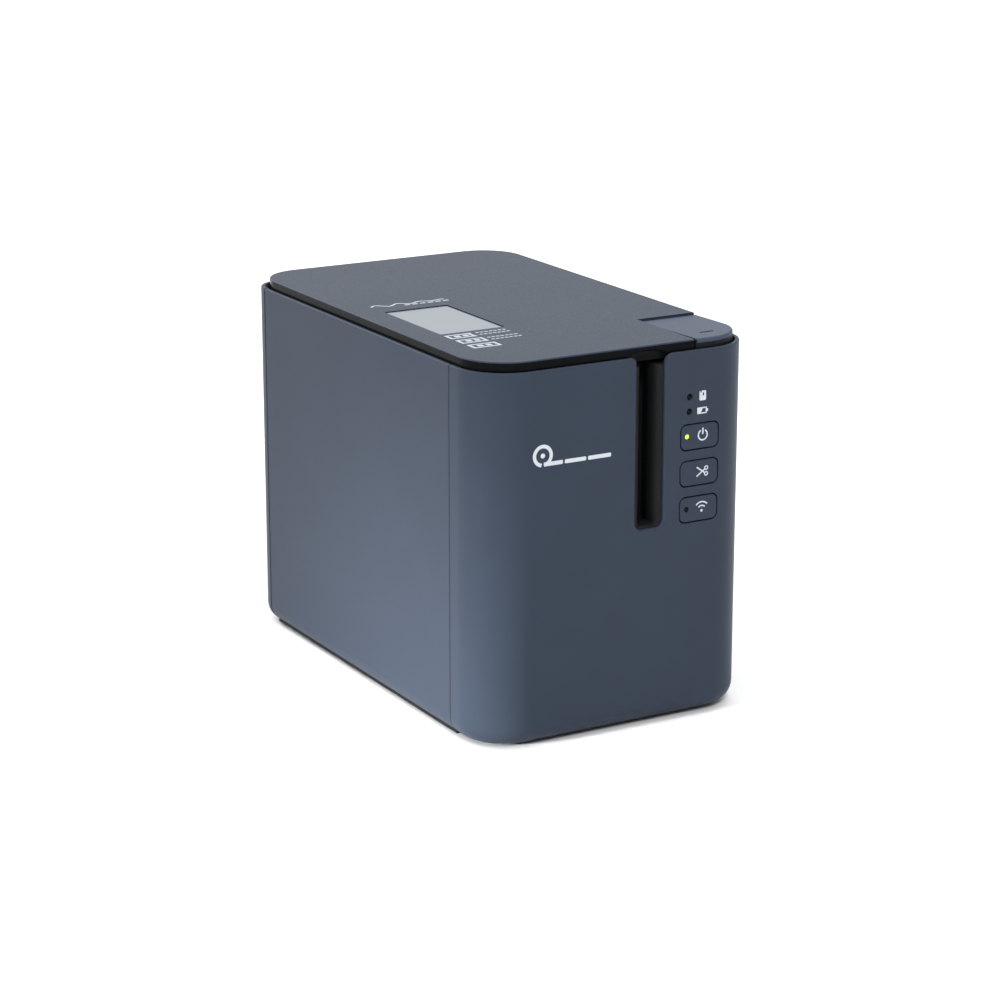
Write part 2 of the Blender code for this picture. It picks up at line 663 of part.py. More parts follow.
def feed_train():
    low, high = GEAR_Z
    bore = AXLE_RADIUS + GAP
    outline = gear_outline(IDLER, IDLER_TEETH, 0.0)
    rings = [(outline, low), (outline, high), (like(outline, IDLER, 5), high)]
    rings += [(like(outline, IDLER, 5), high + 1.5), (like(outline, IDLER, bore), high + 1.5)]
    rings += [(like(outline, IDLER, bore), low)]
    make("idler_gear", loft(bmesh.new(), rings, closed=True), "acetal_white", (*IDLER, low))

    outline = gear_outline(TAKEUP, TAKEUP_TEETH, mesh_phase(TAKEUP_TEETH, TAKEUP_ANGLE, 0.0, IDLER_TEETH))
    rings = [(like(outline, TAKEUP, bore), 90.0), (like(outline, TAKEUP, bore), low), (outline, low)]
    rings += [(outline, high), (like(outline, TAKEUP, 3.4), high), (like(outline, TAKEUP, 3.4), 124.0)]
    rings += [(like(outline, TAKEUP, 2.4), 127.0)]
    make("takeup_spindle", loft(bmesh.new(), rings), "acetal_white", (*TAKEUP, low))

    outline = gear_outline(PINION, PINION_TEETH, mesh_phase(PINION_TEETH, PINION_ANGLE, 0.0, IDLER_TEETH))
    rings = [(like(outline, PINION, 1.5), 62.0), (like(outline, PINION, 1.5), low), (outline, low)]
    rings += [(outline, high), (like(outline, PINION, 1.5), high), (like(outline, PINION, 1.5), high + 1.5)]
    make("motor_pinion", loft(bmesh.new(), rings), "brass_turned", (*PINION, low))

    back = IDLER_ANGLE + 180
    outline = gear_outline(PLATEN, PLATEN_TEETH, mesh_phase(PLATEN_TEETH, back, 0.0, IDLER_TEETH))
    shaft = like(outline, PLATEN, AXLE_RADIUS)
    rings = [(shaft, 76.0), (shaft, low), (outline, low), (outline, high), (shaft, high), (shaft, 134.8)]
    make("platen_gear", loft(bmesh.new(), rings), "acetal_white", (*PLATEN, low))
    roller = [(bore, 92.0), (PLATEN_RADIUS, 92.0), (PLATEN_RADIUS, 131.6), (bore, 131.6)]
    make("platen_roller", turned(roller, PLATEN, closed=True, steps=28), "rubber", (*PLATEN, 92))

    body = [(MOTOR_RADIUS - 1, 40.0), (MOTOR_RADIUS, 41.0), (MOTOR_RADIUS, 71.5), (5.0, 71.5), (5.0, 72.7)]
    motor = make("feed_motor", turned(body, PINION), "motor_steel", (*PINION, 40))
    cut(motor, turned([(1.9, 60.0), (1.9, 80.0)], PINION, steps=16))


def platen_holder():
    """A C-shaped frame that carries the platen roller and swings it away from the tape."""
    px, py = HOLDER_PIVOT
    outline = [(13.5, -58.0), (28.0, -58.0), (32.0, -17.0), (22.0, -17.0), (22.0, -40.5), (13.5, -44.0)]
    holder = make("platen_holder", prism(outline, 84.3, 134.2), "moulded_black", (px, py, 110))
    cut(
        holder,
        block(5, 24.6, -70, -40.8, 86.3, 132.0),
        block(5, 50, -39.0, 0, 80, WELL_FLOOR[1] + GAP + 0.4),
        turned([(2.3, 80.0), (2.3, 140.0)], PLATEN, steps=16),
    )
    join(holder, turned([(1.9, 87.2), (1.9, 137.8)], HOLDER_PIVOT, steps=16))


def blade_outline():
    """The swinging blade, seen from the front: a long edge above the pivot and teeth below it."""
    tip = away(BLADE_PIVOT, BLADE_REST_ANGLE, 51.0)
    shoulder = away(BLADE_PIVOT, BLADE_REST_ANGLE, 5.0)
    across = BLADE_REST_ANGLE - 90
    points = [shoulder, tip, away(tip, across, 7.0), away(away(BLADE_PIVOT, BLADE_REST_ANGLE, 8.0), across, 9.0)]
    pitch = MODULE * SECTOR_TEETH / 2
    step = 360 / SECTOR_TEETH
    for tooth in range(2, -3, -1):
        middle = CUTTER_PINION_ANGLE + step * (tooth - 0.5)
        for angle, radius in ((0.29, -1.2), (0.12, 0.9), (-0.12, 0.9), (-0.29, -1.2)):
            points.append(away(BLADE_PIVOT, middle + step * angle, pitch + radius * MODULE))
    points += [away(BLADE_PIVOT, 215, 5.0), away(BLADE_PIVOT, 150, 5.0), away(BLADE_PIVOT, 115, 5.0)]
    return points


def cutter():
    px, pz = BLADE_PIVOT
    mx, mz = CUTTER_PINION
    plate = (-72.9, -71.4)
    tab = [(14.3, 75.6), (14.3, 57.0), (31.0, 57.0)]
    frame_outline = tab + [(31.0, 133.5), (-6.0, 133.5), (-6.0, 85.0), (8.8, 85.0), (8.8, 75.6)]
    frame = make("cutter_frame", prism(frame_outline, *plate, "Y"), "zinc_steel", (px, plate[0], pz))
    cut(frame, block(TAPE_X - 2.2, TAPE_X + 2.2, -80, -65, 90, 131.5), block(-4, 4, -80, -65, 95, 128))
    cut(frame, prism(circle((mx, mz), 3.0), -80, -65, "Y"))
    join(frame, turned([(1.9, -77.0), (1.9, -72.0)], BLADE_PIVOT, "Y", steps=16))
    make("fixed_blade", block(4.4, TAPE_X - 0.9, -74.0, -73.2, 88.5, 133.0), "blade_steel")
    blade = make("cutter_blade", prism(blade_outline(), *BLADE_Y, "Y"), "blade_steel", (px, BLADE_Y[0], pz))
    cut(blade, prism(circle(BLADE_PIVOT, 2.2, 16), -80, -70, "Y"))
    phase = CUTTER_PINION_ANGLE + 180
    outline = gear_outline(CUTTER_PINION, CUTTER_PINION_TEETH, phase)
    shaft = like(outline, CUTTER_PINION, 1.5)
    rings = [(outline, -77.0), (outline, -73.4), (shaft, -73.4), (shaft, -64.0)]
    make("cutter_pinion", loft(bmesh.new(), rings, "Y"), "brass_turned", (mx, -75, mz))
    body = [(4.0, -71.0), (7.6, -70.2), (7.6, -46.0), (6.6, -45.0)]
    motor = make("cutter_motor", turned(body, CUTTER_PINION, "Y", steps=20), "motor_steel", (mx, -58, mz))
    cut(motor, prism(circle(CUTTER_PINION, 1.9, 16), -80, -62, "Y"))


def tape_guide():
    """The black chute between the cutter and the slot, with a narrow way in for the tape."""
    x0, x1 = SLOT
    wall = 2.0
    guide = make(
        "tape_guide",
        block(x0 - wall, x1 + wall, SLOT_LIP_Y + GAP, -79.0, SLOT_LOW_Z - wall, DECK_TOP_Z),
        "moulded_black",
    )
    cut(guide, block(x0, x1, -DEPTH, -80.5, SLOT_LOW_Z, HEIGHT))
    cut(guide, block(TAPE_X - 1.6, TAPE_X + 1.6, -90, -70, 88.0, HEIGHT))


# ---- the whole object -------------------------------------------------------------------


for old in list(bpy.data.objects):
    bpy.data.objects.remove(old, do_unlink=True)

material("moulded_slate", (0.060, 0.070, 0.090), 0.45)
material("moulded_black", (0.012, 0.013, 0.015), 0.50)
material("gloss_black", (0.010, 0.011, 0.013), 0.12)
material("window_plastic", (0.56, 0.61, 0.68), 0.15)
material("clear_lens", (0.03, 0.03, 0.03), 0.15)
material("rubber", (0.020, 0.020, 0.022), 0.85)
material("zinc_steel", (0.60, 0.61, 0.62), 0.35, 1.0)
material("blade_steel", (0.70, 0.71, 0.72), 0.20, 1.0)
material("motor_steel", (0.45, 0.46, 0.48), 0.30, 1.0)
material("nickel_shield", (0.66, 0.64, 0.60), 0.25, 1.0)
material("bare_aluminium", (0.80, 0.81, 0.82), 0.35, 1.0)
material("brass_turned", (0.78, 0.60, 0.30), 0.30, 1.0)
material("acetal_white", (0.80, 0.80, 0.78), 0.40)
material("circuit_board", (0.02, 0.16, 0.07), 0.45)
material("cassette_grey", (0.30, 0.31, 0.33), 0.45)
material("label_tape", (0.80, 0.80, 0.80), 0.40)
material("ink_ribbon", (0.02, 0.02, 0.02), 0.30)
material("head_ceramic", (0.08, 0.08, 0.09), 0.30)

base_tray()
front_cover()
side_panels()
rear_cover()
feet_and_screws()
dock_connector()
rear_sockets()
inner_deck()
hinge_pins()
cassette_well()
boards()
lid_switch()
lid()
release_button()
latch_slide()
keys()
cassette()
print_head()
gear_plate()
feed_train()
platen_holder()
cutter()
tape_guide()
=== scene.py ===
"""Looks of a desktop tape label maker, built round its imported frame.

Each section makes one piece or one group of like pieces, in the order in which the object is
put together. Shapes are drawn in millimetres and scaled to metres as each mesh is made.
"""

import json
import math

import bmesh
import bpy
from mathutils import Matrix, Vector


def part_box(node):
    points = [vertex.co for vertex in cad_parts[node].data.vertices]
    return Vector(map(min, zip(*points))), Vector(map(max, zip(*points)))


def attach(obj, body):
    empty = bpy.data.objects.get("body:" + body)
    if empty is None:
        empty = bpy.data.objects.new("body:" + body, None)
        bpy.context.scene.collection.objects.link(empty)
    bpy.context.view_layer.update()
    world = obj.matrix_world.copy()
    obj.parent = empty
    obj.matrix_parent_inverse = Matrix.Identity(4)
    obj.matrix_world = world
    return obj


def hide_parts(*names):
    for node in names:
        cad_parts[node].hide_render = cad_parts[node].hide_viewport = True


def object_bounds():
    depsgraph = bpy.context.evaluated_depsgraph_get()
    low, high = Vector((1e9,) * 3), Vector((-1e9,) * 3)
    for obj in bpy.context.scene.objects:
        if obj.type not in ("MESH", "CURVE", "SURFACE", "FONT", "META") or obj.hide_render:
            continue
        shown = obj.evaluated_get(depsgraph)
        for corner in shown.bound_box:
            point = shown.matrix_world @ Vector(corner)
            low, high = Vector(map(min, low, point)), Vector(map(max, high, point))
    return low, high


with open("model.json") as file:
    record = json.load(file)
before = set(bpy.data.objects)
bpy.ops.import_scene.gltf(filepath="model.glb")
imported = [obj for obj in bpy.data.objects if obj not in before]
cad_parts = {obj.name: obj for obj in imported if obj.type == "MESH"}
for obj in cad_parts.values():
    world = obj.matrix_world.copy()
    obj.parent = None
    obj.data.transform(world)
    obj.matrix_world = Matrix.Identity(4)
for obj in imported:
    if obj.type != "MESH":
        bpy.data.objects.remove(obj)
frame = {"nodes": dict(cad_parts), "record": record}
cad_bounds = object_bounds()

# ---- Camera ---------------------------------------------------------------------------
# A long portrait lens stands a little over a metre away, left of the front and slightly
# above the lid, at the height of someone seated at the table.

MM = 0.001
VIEW_AZIMUTH = math.radians(-29.753)
VIEW_ELEVATION = math.radians(15.670)
VIEW_DISTANCE = 1.1315
VIEW_LENS = 103.07
VIEW_SHIFT = (0.00675, -0.0175)

object_low, object_high = (Vector(corner) for corner in cad_bounds)
view_target = Vector((0, 0, (object_low.z + object_high.z) / 2))
view_direction = Vector(
    (
        math.sin(VIEW_AZIMUTH) * math.cos(VIEW_ELEVATION),
        -math.cos(VIEW_AZIMUTH) * math.cos(VIEW_ELEVATION),
        math.sin(VIEW_ELEVATION),
    )
)


def linked(name, data):
    """Puts a new object with this data into the scene."""
    made = bpy.data.objects.new(name, data)
    bpy.context.scene.collection.objects.link(made)
    return made


camera_data = bpy.data.cameras.new("product_camera")
camera_data.lens = VIEW_LENS
camera_data.sensor_width = 36.0
camera_data.shift_x, camera_data.shift_y = VIEW_SHIFT
camera = linked("product_camera", camera_data)
camera.location = view_target + VIEW_DISTANCE * view_direction
camera.rotation_euler = (-view_direction).to_track_quat("-Z", "Y").to_euler()
bpy.context.scene.camera = camera

# ---- Floor and studio light -----------------------------------------------------------
# A white sweep of matt card carries the object. The room is a white tent, brightest overhead
# and behind. One soft box lights the front, one skims the lid from behind, and a narrow one
# lifts the foot of the left side.

FLOOR_SIZE = 40.0
TENT_GLOW = (0.05, 0.34, 0.94)
TENT_DARK = 0.12
TENT_BRIGHT = 2.4


def srgb(colour):
    """A hex colour such as "4a5260" as linear RGBA."""
    parts = [int(colour[i : i + 2], 16) / 255 for i in (0, 2, 4)]
    return (*(c / 12.92 if c <= 0.04045 else ((c + 0.055) / 1.055) ** 2.4 for c in parts), 1.0)


def add_node(tree, kind, inputs=(), **settings):
    """Adds a node; inputs maps a socket's name or number to a value or to another socket."""
    made = tree.nodes.new(kind)
    for key, value in settings.items():
        setattr(made, key, value)
    for key, value in dict(inputs).items():
        socket = made.inputs[key]
        if isinstance(value, bpy.types.NodeSocket):
            tree.links.new(value, socket)
        else:
            socket.default_value = value
    return made


def new_material(name, **constants):
    """A node material with a wired Principled shader, whose even values are given by name."""
    made = bpy.data.materials.new(name)
    made.use_nodes = True
    tree = made.node_tree
    tree.nodes.clear()
    shader = add_node(tree, "ShaderNodeBsdfPrincipled")
    add_node(tree, "ShaderNodeOutputMaterial", {"Surface": shader.outputs[0]})
    for key, value in constants.items():
        shader.inputs[key.replace("_", " ")].default_value = value
    return made, tree, shader


def spread(tree, value, to_low, to_high, low=0.3, high=0.7):
    """Maps a noise value, most of which lies between low and high, to another range."""
    limits = {"Value": value, "From Min": low, "From Max": high, "To Min": to_low, "To Max": to_high}
    return add_node(tree, "ShaderNodeMapRange", limits).outputs["Result"]


# Matt white card: its fibres give a slow, faint unevenness of tone.
white_card, tree, shader = new_material("matt_white_card", Roughness=0.9, Specular_IOR_Level=0.2)
spot = add_node(tree, "ShaderNodeTexCoord")
fibre = add_node(
    tree, "ShaderNodeTexNoise", {"Vector": spot.outputs["Object"], "Scale": 40.0, "Detail": 4.0}
)
tone = add_node(tree, "ShaderNodeValToRGB", {"Fac": fibre.outputs["Fac"]})
tone.color_ramp.elements[0].color = srgb("ebebec")
tone.color_ramp.elements[1].color = srgb("f0f0f1")
tree.links.new(tone.outputs["Color"], shader.inputs["Base Color"])

floor_mesh = bpy.data.meshes.new("floor")
half = FLOOR_SIZE / 2
corners = [(-half, -half, 0), (half, -half, 0), (half, half, 0), (-half, half, 0)]
floor_mesh.from_pydata(corners, [], [(0, 1, 2, 3)])
floor_mesh.materials.append(white_card)
floor = linked("floor", floor_mesh)

world = bpy.data.worlds.new("white_tent")
world.use_nodes = True
tree = world.node_tree
tree.nodes.clear()
spot = add_node(tree, "ShaderNodeTexCoord")
facing = add_node(
    tree,
    "ShaderNodeVectorMath",
    {0: spot.outputs["Generated"], 1: Vector(TENT_GLOW).normalized()},
    operation="DOT_PRODUCT",
)
raised = add_node(tree, "ShaderNodeMapRange", {"Value": facing.outputs["Value"], "From Min": -0.25})
fall = add_node(tree, "ShaderNodeMath", {0: raised.outputs["Result"], 1: 2.0}, operation="POWER")
glow = add_node(
    tree, "ShaderNodeMapRange", {"Value": fall.outputs[0], "To Min": TENT_DARK, "To Max": TENT_BRIGHT}
)
sky = add_node(tree, "ShaderNodeBackground", {"Color": srgb("ffffff"), "Strength": glow.outputs["Result"]})
add_node(tree, "ShaderNodeOutputWorld", {"Surface": sky.outputs[0]})
bpy.context.scene.world = world
bpy.context.scene.view_settings.view_transform = "Standard"


def soft_box(name, azimuth, elevation, distance, size, power, aim=view_target, spread=180):
    """A square area light that looks at a point from a direction; both angles are in degrees."""
    light = bpy.data.lights.new(name, "AREA")
    light.size = size
    light.energy = power
    light.spread = math.radians(spread)
    turn, lift = math.radians(azimuth), math.radians(elevation)
    direction = Vector((math.sin(turn) * math.cos(lift), -math.cos(turn) * math.cos(lift), math.sin(lift)))
    made = linked(name, light)
    made.location = Vector(aim) + distance * direction
    made.rotation_euler = (-direction).to_track_quat("-Z", "Y").to_euler()


soft_box("key_soft_box", -22, 40, 1.5, 0.2, 9.0)
soft_box("back_soft_box", -163, 28, 1.5, 0.4, 9.0)
soft_box("low_left_box", -88, 14, 1.5, 0.1, 0.32, (-0.059, -0.06, -0.04), 14)

# ---- Front cover ----------------------------------------------------------------------
# One injection-moulded ABS shell wraps both front corners. Its face has the tall tape slot
# with rolled edges, three key windows and two lamp holes. The tool is spark eroded.

FRONT_RADIUS = 19.5
REAR_RADIUS = 13.0
WALL = 2.4
RIM_WALL = 1.6
RIM_TOP = 142.3
RIM_STEP = 138.6
FOOT_FILLET = 7.5
FOOT_Z = 0.8
SKIN = 0.04
CORNER_STEPS = 18
SEAM = 0.5
FRONT_SEAM = -71.0
REAR_SEAM = 82.7
HALF_WIDTH = object_high.x / MM
HALF_DEPTH = object_high.y / MM
FRONT_FACE = -HALF_DEPTH + SKIN
LID_TOP = object_high.z / MM
FAR = 400.0
SLOT = (5.2, 17.4)
SLOT_LOW = 77.0
SLOT_LIP = -89.0
SLOT_ROLL = 0.9
KEY_X = 33.0
KEY_SIZE = (16.2, 9.3)
KEY_CORNER = 2.2
KEY_GROOVE = 0.5
KEY_HEIGHTS = {"power_key": 109.6, "cut_key": 95.7, "wireless_key": 81.8}
LAMP_X = 28.3
LAMP_HOLE = 1.25
LAMP_HEIGHTS = {"cassette_lamp": 125.0, "battery_lamp": 119.4}


def away(start, degrees, distance):
    turn = math.radians(degrees)
    return (start[0] + distance * math.cos(turn), start[1] + distance * math.sin(turn))


def arc(centre, radius, start, end, steps):
    return [away(centre, start + (end - start) * i / steps, radius) for i in range(steps + 1)]


def circle(centre, radius, steps=32):
    return arc(centre, radius, 0, 360, steps)[:-1]


def rounded(x0, x1, y0, y1, low_radius, high_radius=None, steps=8):
    """A rectangle with one radius on its low-y corners and another on its high-y ones."""
    high_radius = low_radius if high_radius is None else high_radius
    return (
        arc((x0 + low_radius, y0 + low_radius), low_radius, 180, 270, steps)
        + arc((x1 - low_radius, y0 + low_radius), low_radius, 270, 360, steps)
        + arc((x1 - high_radius, y1 - high_radius), high_radius, 0, 90, steps)
        + arc((x0 + high_radius, y1 - high_radius), high_radius, 90, 180, steps)
    )


def loft(rings, axis="Z", closed=False, mesh=None):
    """Skins (outline, height) rings along an axis, capped at the ends or joined if closed."""
    mesh = mesh or bmesh.new()
    order = {"X": (2, 0, 1), "Y": (0, 2, 1), "Z": (0, 1, 2)}[axis]
    loops = []
    for outline, height in rings:
        points = [(*point, height) for point in outline]
        loops.append([mesh.verts.new([point[i] for i in order]) for point in points])
    pairs = list(zip(loops, loops[1:])) + ([(loops[-1], loops[0])] if closed else [])
    for low, high in pairs:
        for i in range(len(low)):
            j = (i + 1) % len(low)
            mesh.faces.new((low[i], low[j], high[j], high[i]))
    if not closed:
        mesh.faces.new(loops[0])
        mesh.faces.new(loops[-1])
    return mesh


def prism(outline, low, high, axis="Z", mesh=None):
    return loft([(outline, low), (outline, high)], axis, mesh=mesh)


def block(x0, x1, y0, y1, z0, z1, mesh=None):
    return prism([(x0, y0), (x1, y0), (x1, y1), (x0, y1)], z0, z1, mesh=mesh)


def turned(profile, centre, axis="Z", closed=False, steps=40, mesh=None):
    rings = [(circle(centre, radius, steps), height) for radius, height in profile]
    return loft(rings, axis, closed, mesh)


def built(name, mesh):
    """An object from a mesh in metres."""
    data = bpy.data.meshes.new(name)
    mesh.to_mesh(data)
    mesh.free()
    return linked(name, data)


def drawn(name, mesh):
    """An object from a mesh drawn in millimetres, with its faces turned outwards."""
    bmesh.ops.recalc_face_normals(mesh, faces=mesh.faces)
    bmesh.ops.scale(mesh, vec=(MM, MM, MM), verts=mesh.verts)
    return built(name, mesh)


def carve(target, operation, *shapes):
    """Cuts, joins or trims the target with shapes, which are used up."""
    for shape in shapes:
        tool = shape if isinstance(shape, bpy.types.Object) else drawn("tool", shape)
        modifier = target.modifiers.new("carve", "BOOLEAN")
        modifier.operation = operation
        modifier.object = tool
        settle(target)
        bpy.data.objects.remove(tool)
    return target


def settle(target):
    """Turns the object's modifiers into plain mesh."""
    graph = bpy.context.evaluated_depsgraph_get()
    data = bpy.data.meshes.new_from_object(
        target.evaluated_get(graph), preserve_all_data_layers=True, depsgraph=graph
    )
    old = target.data
    target.modifiers.clear()
    target.data = data
    bpy.data.meshes.remove(old)


def soften(target, width, segments=3, sharp=38):
    """Rounds the edges that stand at more than the sharp angle, and shades the rest smooth."""
    mesh = bmesh.new()
    mesh.from_mesh(target.data)
    bmesh.ops.remove_doubles(mesh, verts=mesh.verts, dist=0.004 * MM)
    bmesh.ops.dissolve_degenerate(mesh, edges=mesh.edges, dist=0.002 * MM)
    mesh.to_mesh(target.data)
    mesh.free()
    if width:
        bevel = target.modifiers.new("bevel", "BEVEL")
        bevel.width = width * MM
        bevel.segments = segments
        bevel.limit_method = "ANGLE"
        bevel.angle_limit = math.radians(sharp)
        bevel.use_clamp_overlap = True
        settle(target)
    target.data.shade_smooth()
    target.data.set_sharp_from_angle(angle=math.radians(sharp))
    weighted = target.modifiers.new("weighted", "WEIGHTED_NORMAL")
    weighted.keep_sharp = True
    settle(target)
    return target


def place(piece, material, body, slot, *nodes):
    """Gives a finished piece its material and body, and hides the frame nodes it stands for. The slot is
    not used.
    """
    piece.data.materials.clear()
    piece.data.materials.append(material)
    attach(piece, body)
    if nodes:
        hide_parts(*nodes)
    return piece


def casing_outline(inset):
    """The casing seen from above, moved inwards."""
    half_x = HALF_WIDTH - inset
    half_y = HALF_DEPTH - inset
    radii = (FRONT_RADIUS - inset, REAR_RADIUS - inset)
    return rounded(-half_x, half_x, -half_y, half_y, *radii, CORNER_STEPS)


def foot_rings(inset, steps=9):
    """The rounded foot of the casing, moved inwards."""
    centre = FOOT_Z + FOOT_FILLET
    radius = FOOT_FILLET - inset
    rings = []
    for step in range(steps + 1):
        turn = math.radians(90 - 90 * step / steps)
        inwards = FOOT_FILLET - radius * math.cos(turn)
        rings.append((casing_outline(inwards), centre - radius * math.sin(turn)))
    return rings


def rolled_edge(radius, steps=4):
    """(setback, drop) pairs of a quarter round between a side and a top face."""
    turns = [math.radians(90 * i / steps) for i in range(steps + 1)]
    return [(radius * (1 - math.cos(turn)), radius * (1 - math.sin(turn))) for turn in turns]


def casing_part(name, region):
    """The part of the hollow casing that lies in a region, with a rolled rim."""
    outer = foot_rings(SKIN)
    outer += [(casing_outline(SKIN + back), RIM_TOP - drop) for back, drop in rolled_edge(0.5)]
    made = drawn(name, loft(outer))
    inner = [(casing_outline(FOOT_FILLET), -2.0)] + foot_rings(WALL)
    inner += [(casing_outline(WALL), RIM_STEP), (casing_outline(RIM_WALL), RIM_STEP)]
    inner += [(casing_outline(RIM_WALL), RIM_TOP + 8)]
    carve(made, "INTERSECT", region)
    return carve(made, "DIFFERENCE", loft(inner))


def slot_outline(grow):
    """The tape slot from the front: round below, and flared where it runs out through the rim."""
    left, right = SLOT
    corner = 3.0
    flare_left, flare_right = 2.0, 3.8
    top = RIM_TOP + 6
    return (
        arc((left + corner, SLOT_LOW + corner), corner + grow, 180, 270, 10)
        + arc((right - corner, SLOT_LOW + corner), corner + grow, 270, 360, 10)
        + arc((right + flare_right, RIM_TOP - flare_right), flare_right - grow, 180, 90, 10)
        + [(right + flare_right, top), (left - flare_left, top)]
        + arc((left - flare_left, RIM_TOP - flare_left), flare_left - grow, 90, 0, 8)
    )


def key_outline(height, grow):
    half_x = KEY_SIZE[0] / 2 + grow
    half_z = KEY_SIZE[1] / 2 + grow
    return rounded(KEY_X - half_x, KEY_X + half_x, height - half_z, height + half_z, KEY_CORNER + grow)


def opening(outline, roll, depth):
    """A cutter for a hole through the front face, whose mouth is rolled to a radius."""
    rings = [(outline(roll), FRONT_FACE - 3.0)]
    rings += [(outline(drop), FRONT_FACE + back) for back, drop in rolled_edge(roll)]
    return loft(rings + [(outline(0), FRONT_FACE + depth)], "Y")


front_cover = casing_part("front_cover_shell", block(-FAR, FAR, -FAR, FRONT_SEAM - SEAM / 2, 1.3, FAR))
lip = 2.4
liner_box = (SLOT[0] - lip, SLOT[1] + lip, FRONT_FACE + SLOT_ROLL + 0.1, SLOT_LIP, SLOT_LOW - lip, RIM_STEP)
carve(front_cover, "DIFFERENCE", block(*liner_box), opening(slot_outline, SLOT_ROLL, 12.0))
for height in KEY_HEIGHTS.values():
    window = opening(lambda grow, z=height: key_outline(z, KEY_GROOVE + grow), 0.2, 6.0)
    carve(front_cover, "DIFFERENCE", window)
for height in LAMP_HEIGHTS.values():
    hole = opening(lambda grow, z=height: circle((LAMP_X, z), LAMP_HOLE + grow, 24), 0.15, 6.0)
    carve(front_cover, "DIFFERENCE", hole)
soften(front_cover, 0.22)


def eroded_abs(name, colour, roughness, grain, depth, gloss=0.12):
    """ABS from a spark-eroded tool: a fine even grain breaks the gloss, and the pigment
    shows a very slow, faint drift in tone. The grain and its depth are in millimetres."""
    made, tree, shader = new_material(name, IOR=1.53, Specular_IOR_Level=gloss)
    spot = add_node(tree, "ShaderNodeTexCoord").outputs["Object"]
    drift = add_node(tree, "ShaderNodeTexNoise", {"Vector": spot, "Scale": 1 / (30 * MM), "Detail": 3.0})
    fine = add_node(tree, "ShaderNodeTexNoise", {"Vector": spot, "Scale": 1 / (grain * MM), "Detail": 2.0})
    value = spread(tree, drift.outputs["Fac"], 0.97, 1.03)
    tint = add_node(tree, "ShaderNodeHueSaturation", {"Color": srgb(colour), "Value": value})
    relief = {"Height": fine.outputs["Fac"], "Strength": 0.6, "Distance": depth * MM}
    bump = add_node(tree, "ShaderNodeBump", relief)
    rough = spread(tree, fine.outputs["Fac"], roughness - 0.04, roughness + 0.04)
    tree.links.new(tint.outputs["Color"], shader.inputs["Base Color"])
    tree.links.new(rough, shader.inputs["Roughness"])
    tree.links.new(bump.outputs["Normal"], shader.inputs["Normal"])
    return made


# Slate ABS: the real grain is near 0.3 mm, drawn at 0.7 mm so that it shows.
slate_abs = eroded_abs("slate_abs_spark_eroded", "343c49", 0.4, 0.7, 0.02, gloss=0.06)
place(front_cover, slate_abs, "housing", "slate_shell", "front_cover")


# A black ABS liner stands behind the slot and narrows to the gap that the tape leaves by.
slot_liner = drawn("slot_liner", block(*liner_box))
TAPE_X = 11.3
LINER_NARROWING = 0.55
LINER_RISE = 3.0
LINER_ROLL = 4.4
rings = [(slot_outline(0), -FAR)]
for step in range(9):
    turn = math.radians(11 * step)
    share = 1 - LINER_NARROWING * math.sin(turn)
    low = SLOT_LOW + LINER_RISE * (1 - share)
    narrowed = [(TAPE_X + (x - TAPE_X) * share, max(z, low)) for x, z in slot_outline(0)]
    rings.append((narrowed, liner_box[2] + 0.05 + LINER_ROLL * (1 - math.cos(turn))))
carve(slot_liner, "DIFFERENCE", loft(rings + [(rings[-1][0], -80.0)], "Y"))
soften(slot_liner, 0, sharp=50)
# Black ABS: a matt, eroded inner moulding, nearly black, which scatters what light it gets.
black_abs = eroded_abs("black_abs_spark_eroded", "141517", 0.55, 0.7, 0.02, gloss=0.15)
place(slot_liner, black_abs, "housing", "black_plastic")

# ---- Side panels ----------------------------------------------------------------------
# Two flat ABS mouldings close the sides and wrap under to the foot. They slide on from
# behind, and a thin tongue in each seam keeps light and dust out. The tongues are drawn
# black as painted shade, so that the seam gaps read as dark lines.

PANEL_LOW = 2.3
for name, x0, x1 in (("left_side_panel", -FAR, 0), ("right_side_panel", 0, FAR)):
    region = block(x0, x1, FRONT_SEAM + SEAM / 2, REAR_SEAM - SEAM / 2, PANEL_LOW, FAR)
    panel = soften(casing_part(name + "_shell", region), 0.22)
    place(panel, slate_abs, "housing", "slate_shell", name)

# Each tongue is black: painted shade at the bottom of its seam gap.
for name, seam in (("front_seam_tongue", FRONT_SEAM), ("rear_seam_tongue", REAR_SEAM)):
    half = SEAM / 2 - 0.02
    tongue = drawn(name, loft(foot_rings(1.0) + [(casing_outline(1.0), RIM_STEP - 0.4)]))
    carve(tongue, "INTERSECT", block(-FAR, FAR, seam - half, seam + half, PANEL_LOW + 0.4, RIM_STEP - 0.4))
    carve(tongue, "DIFFERENCE", loft(foot_rings(WALL - 0.1) + [(casing_outline(WALL - 0.1), RIM_TOP)]))
    place(soften(tongue, 0), black_abs, "housing", "black_plastic")

# ---- Rear cover -----------------------------------------------------------------------
# The same ABS closes the back and holds five rows of cooling slots and the socket windows.
# Its rim is cut low behind the lid, so the lid can swing back over it.

SOCKET_LOW = 14.2
SOCKETS = {
    "network_socket": (16.0, 13.5, -41.0),
    "usb_host_socket": (14.4, 7.2, -23.5),
    "usb_socket": (12.0, 11.0, -8.0),
    "serial_socket": (30.8, 12.5, 16.0),
    "power_jack": (11.0, 11.0, 41.0),
}
HINGE_NOTCH = 52.0
DECK_TOP = 138.3
VENT_ROWS = 5
VENT_LOW = 92.0
VENT_PITCH = 7.0
VENT_X = (6.0, 34.0)
VENT_HEIGHT = 2.0

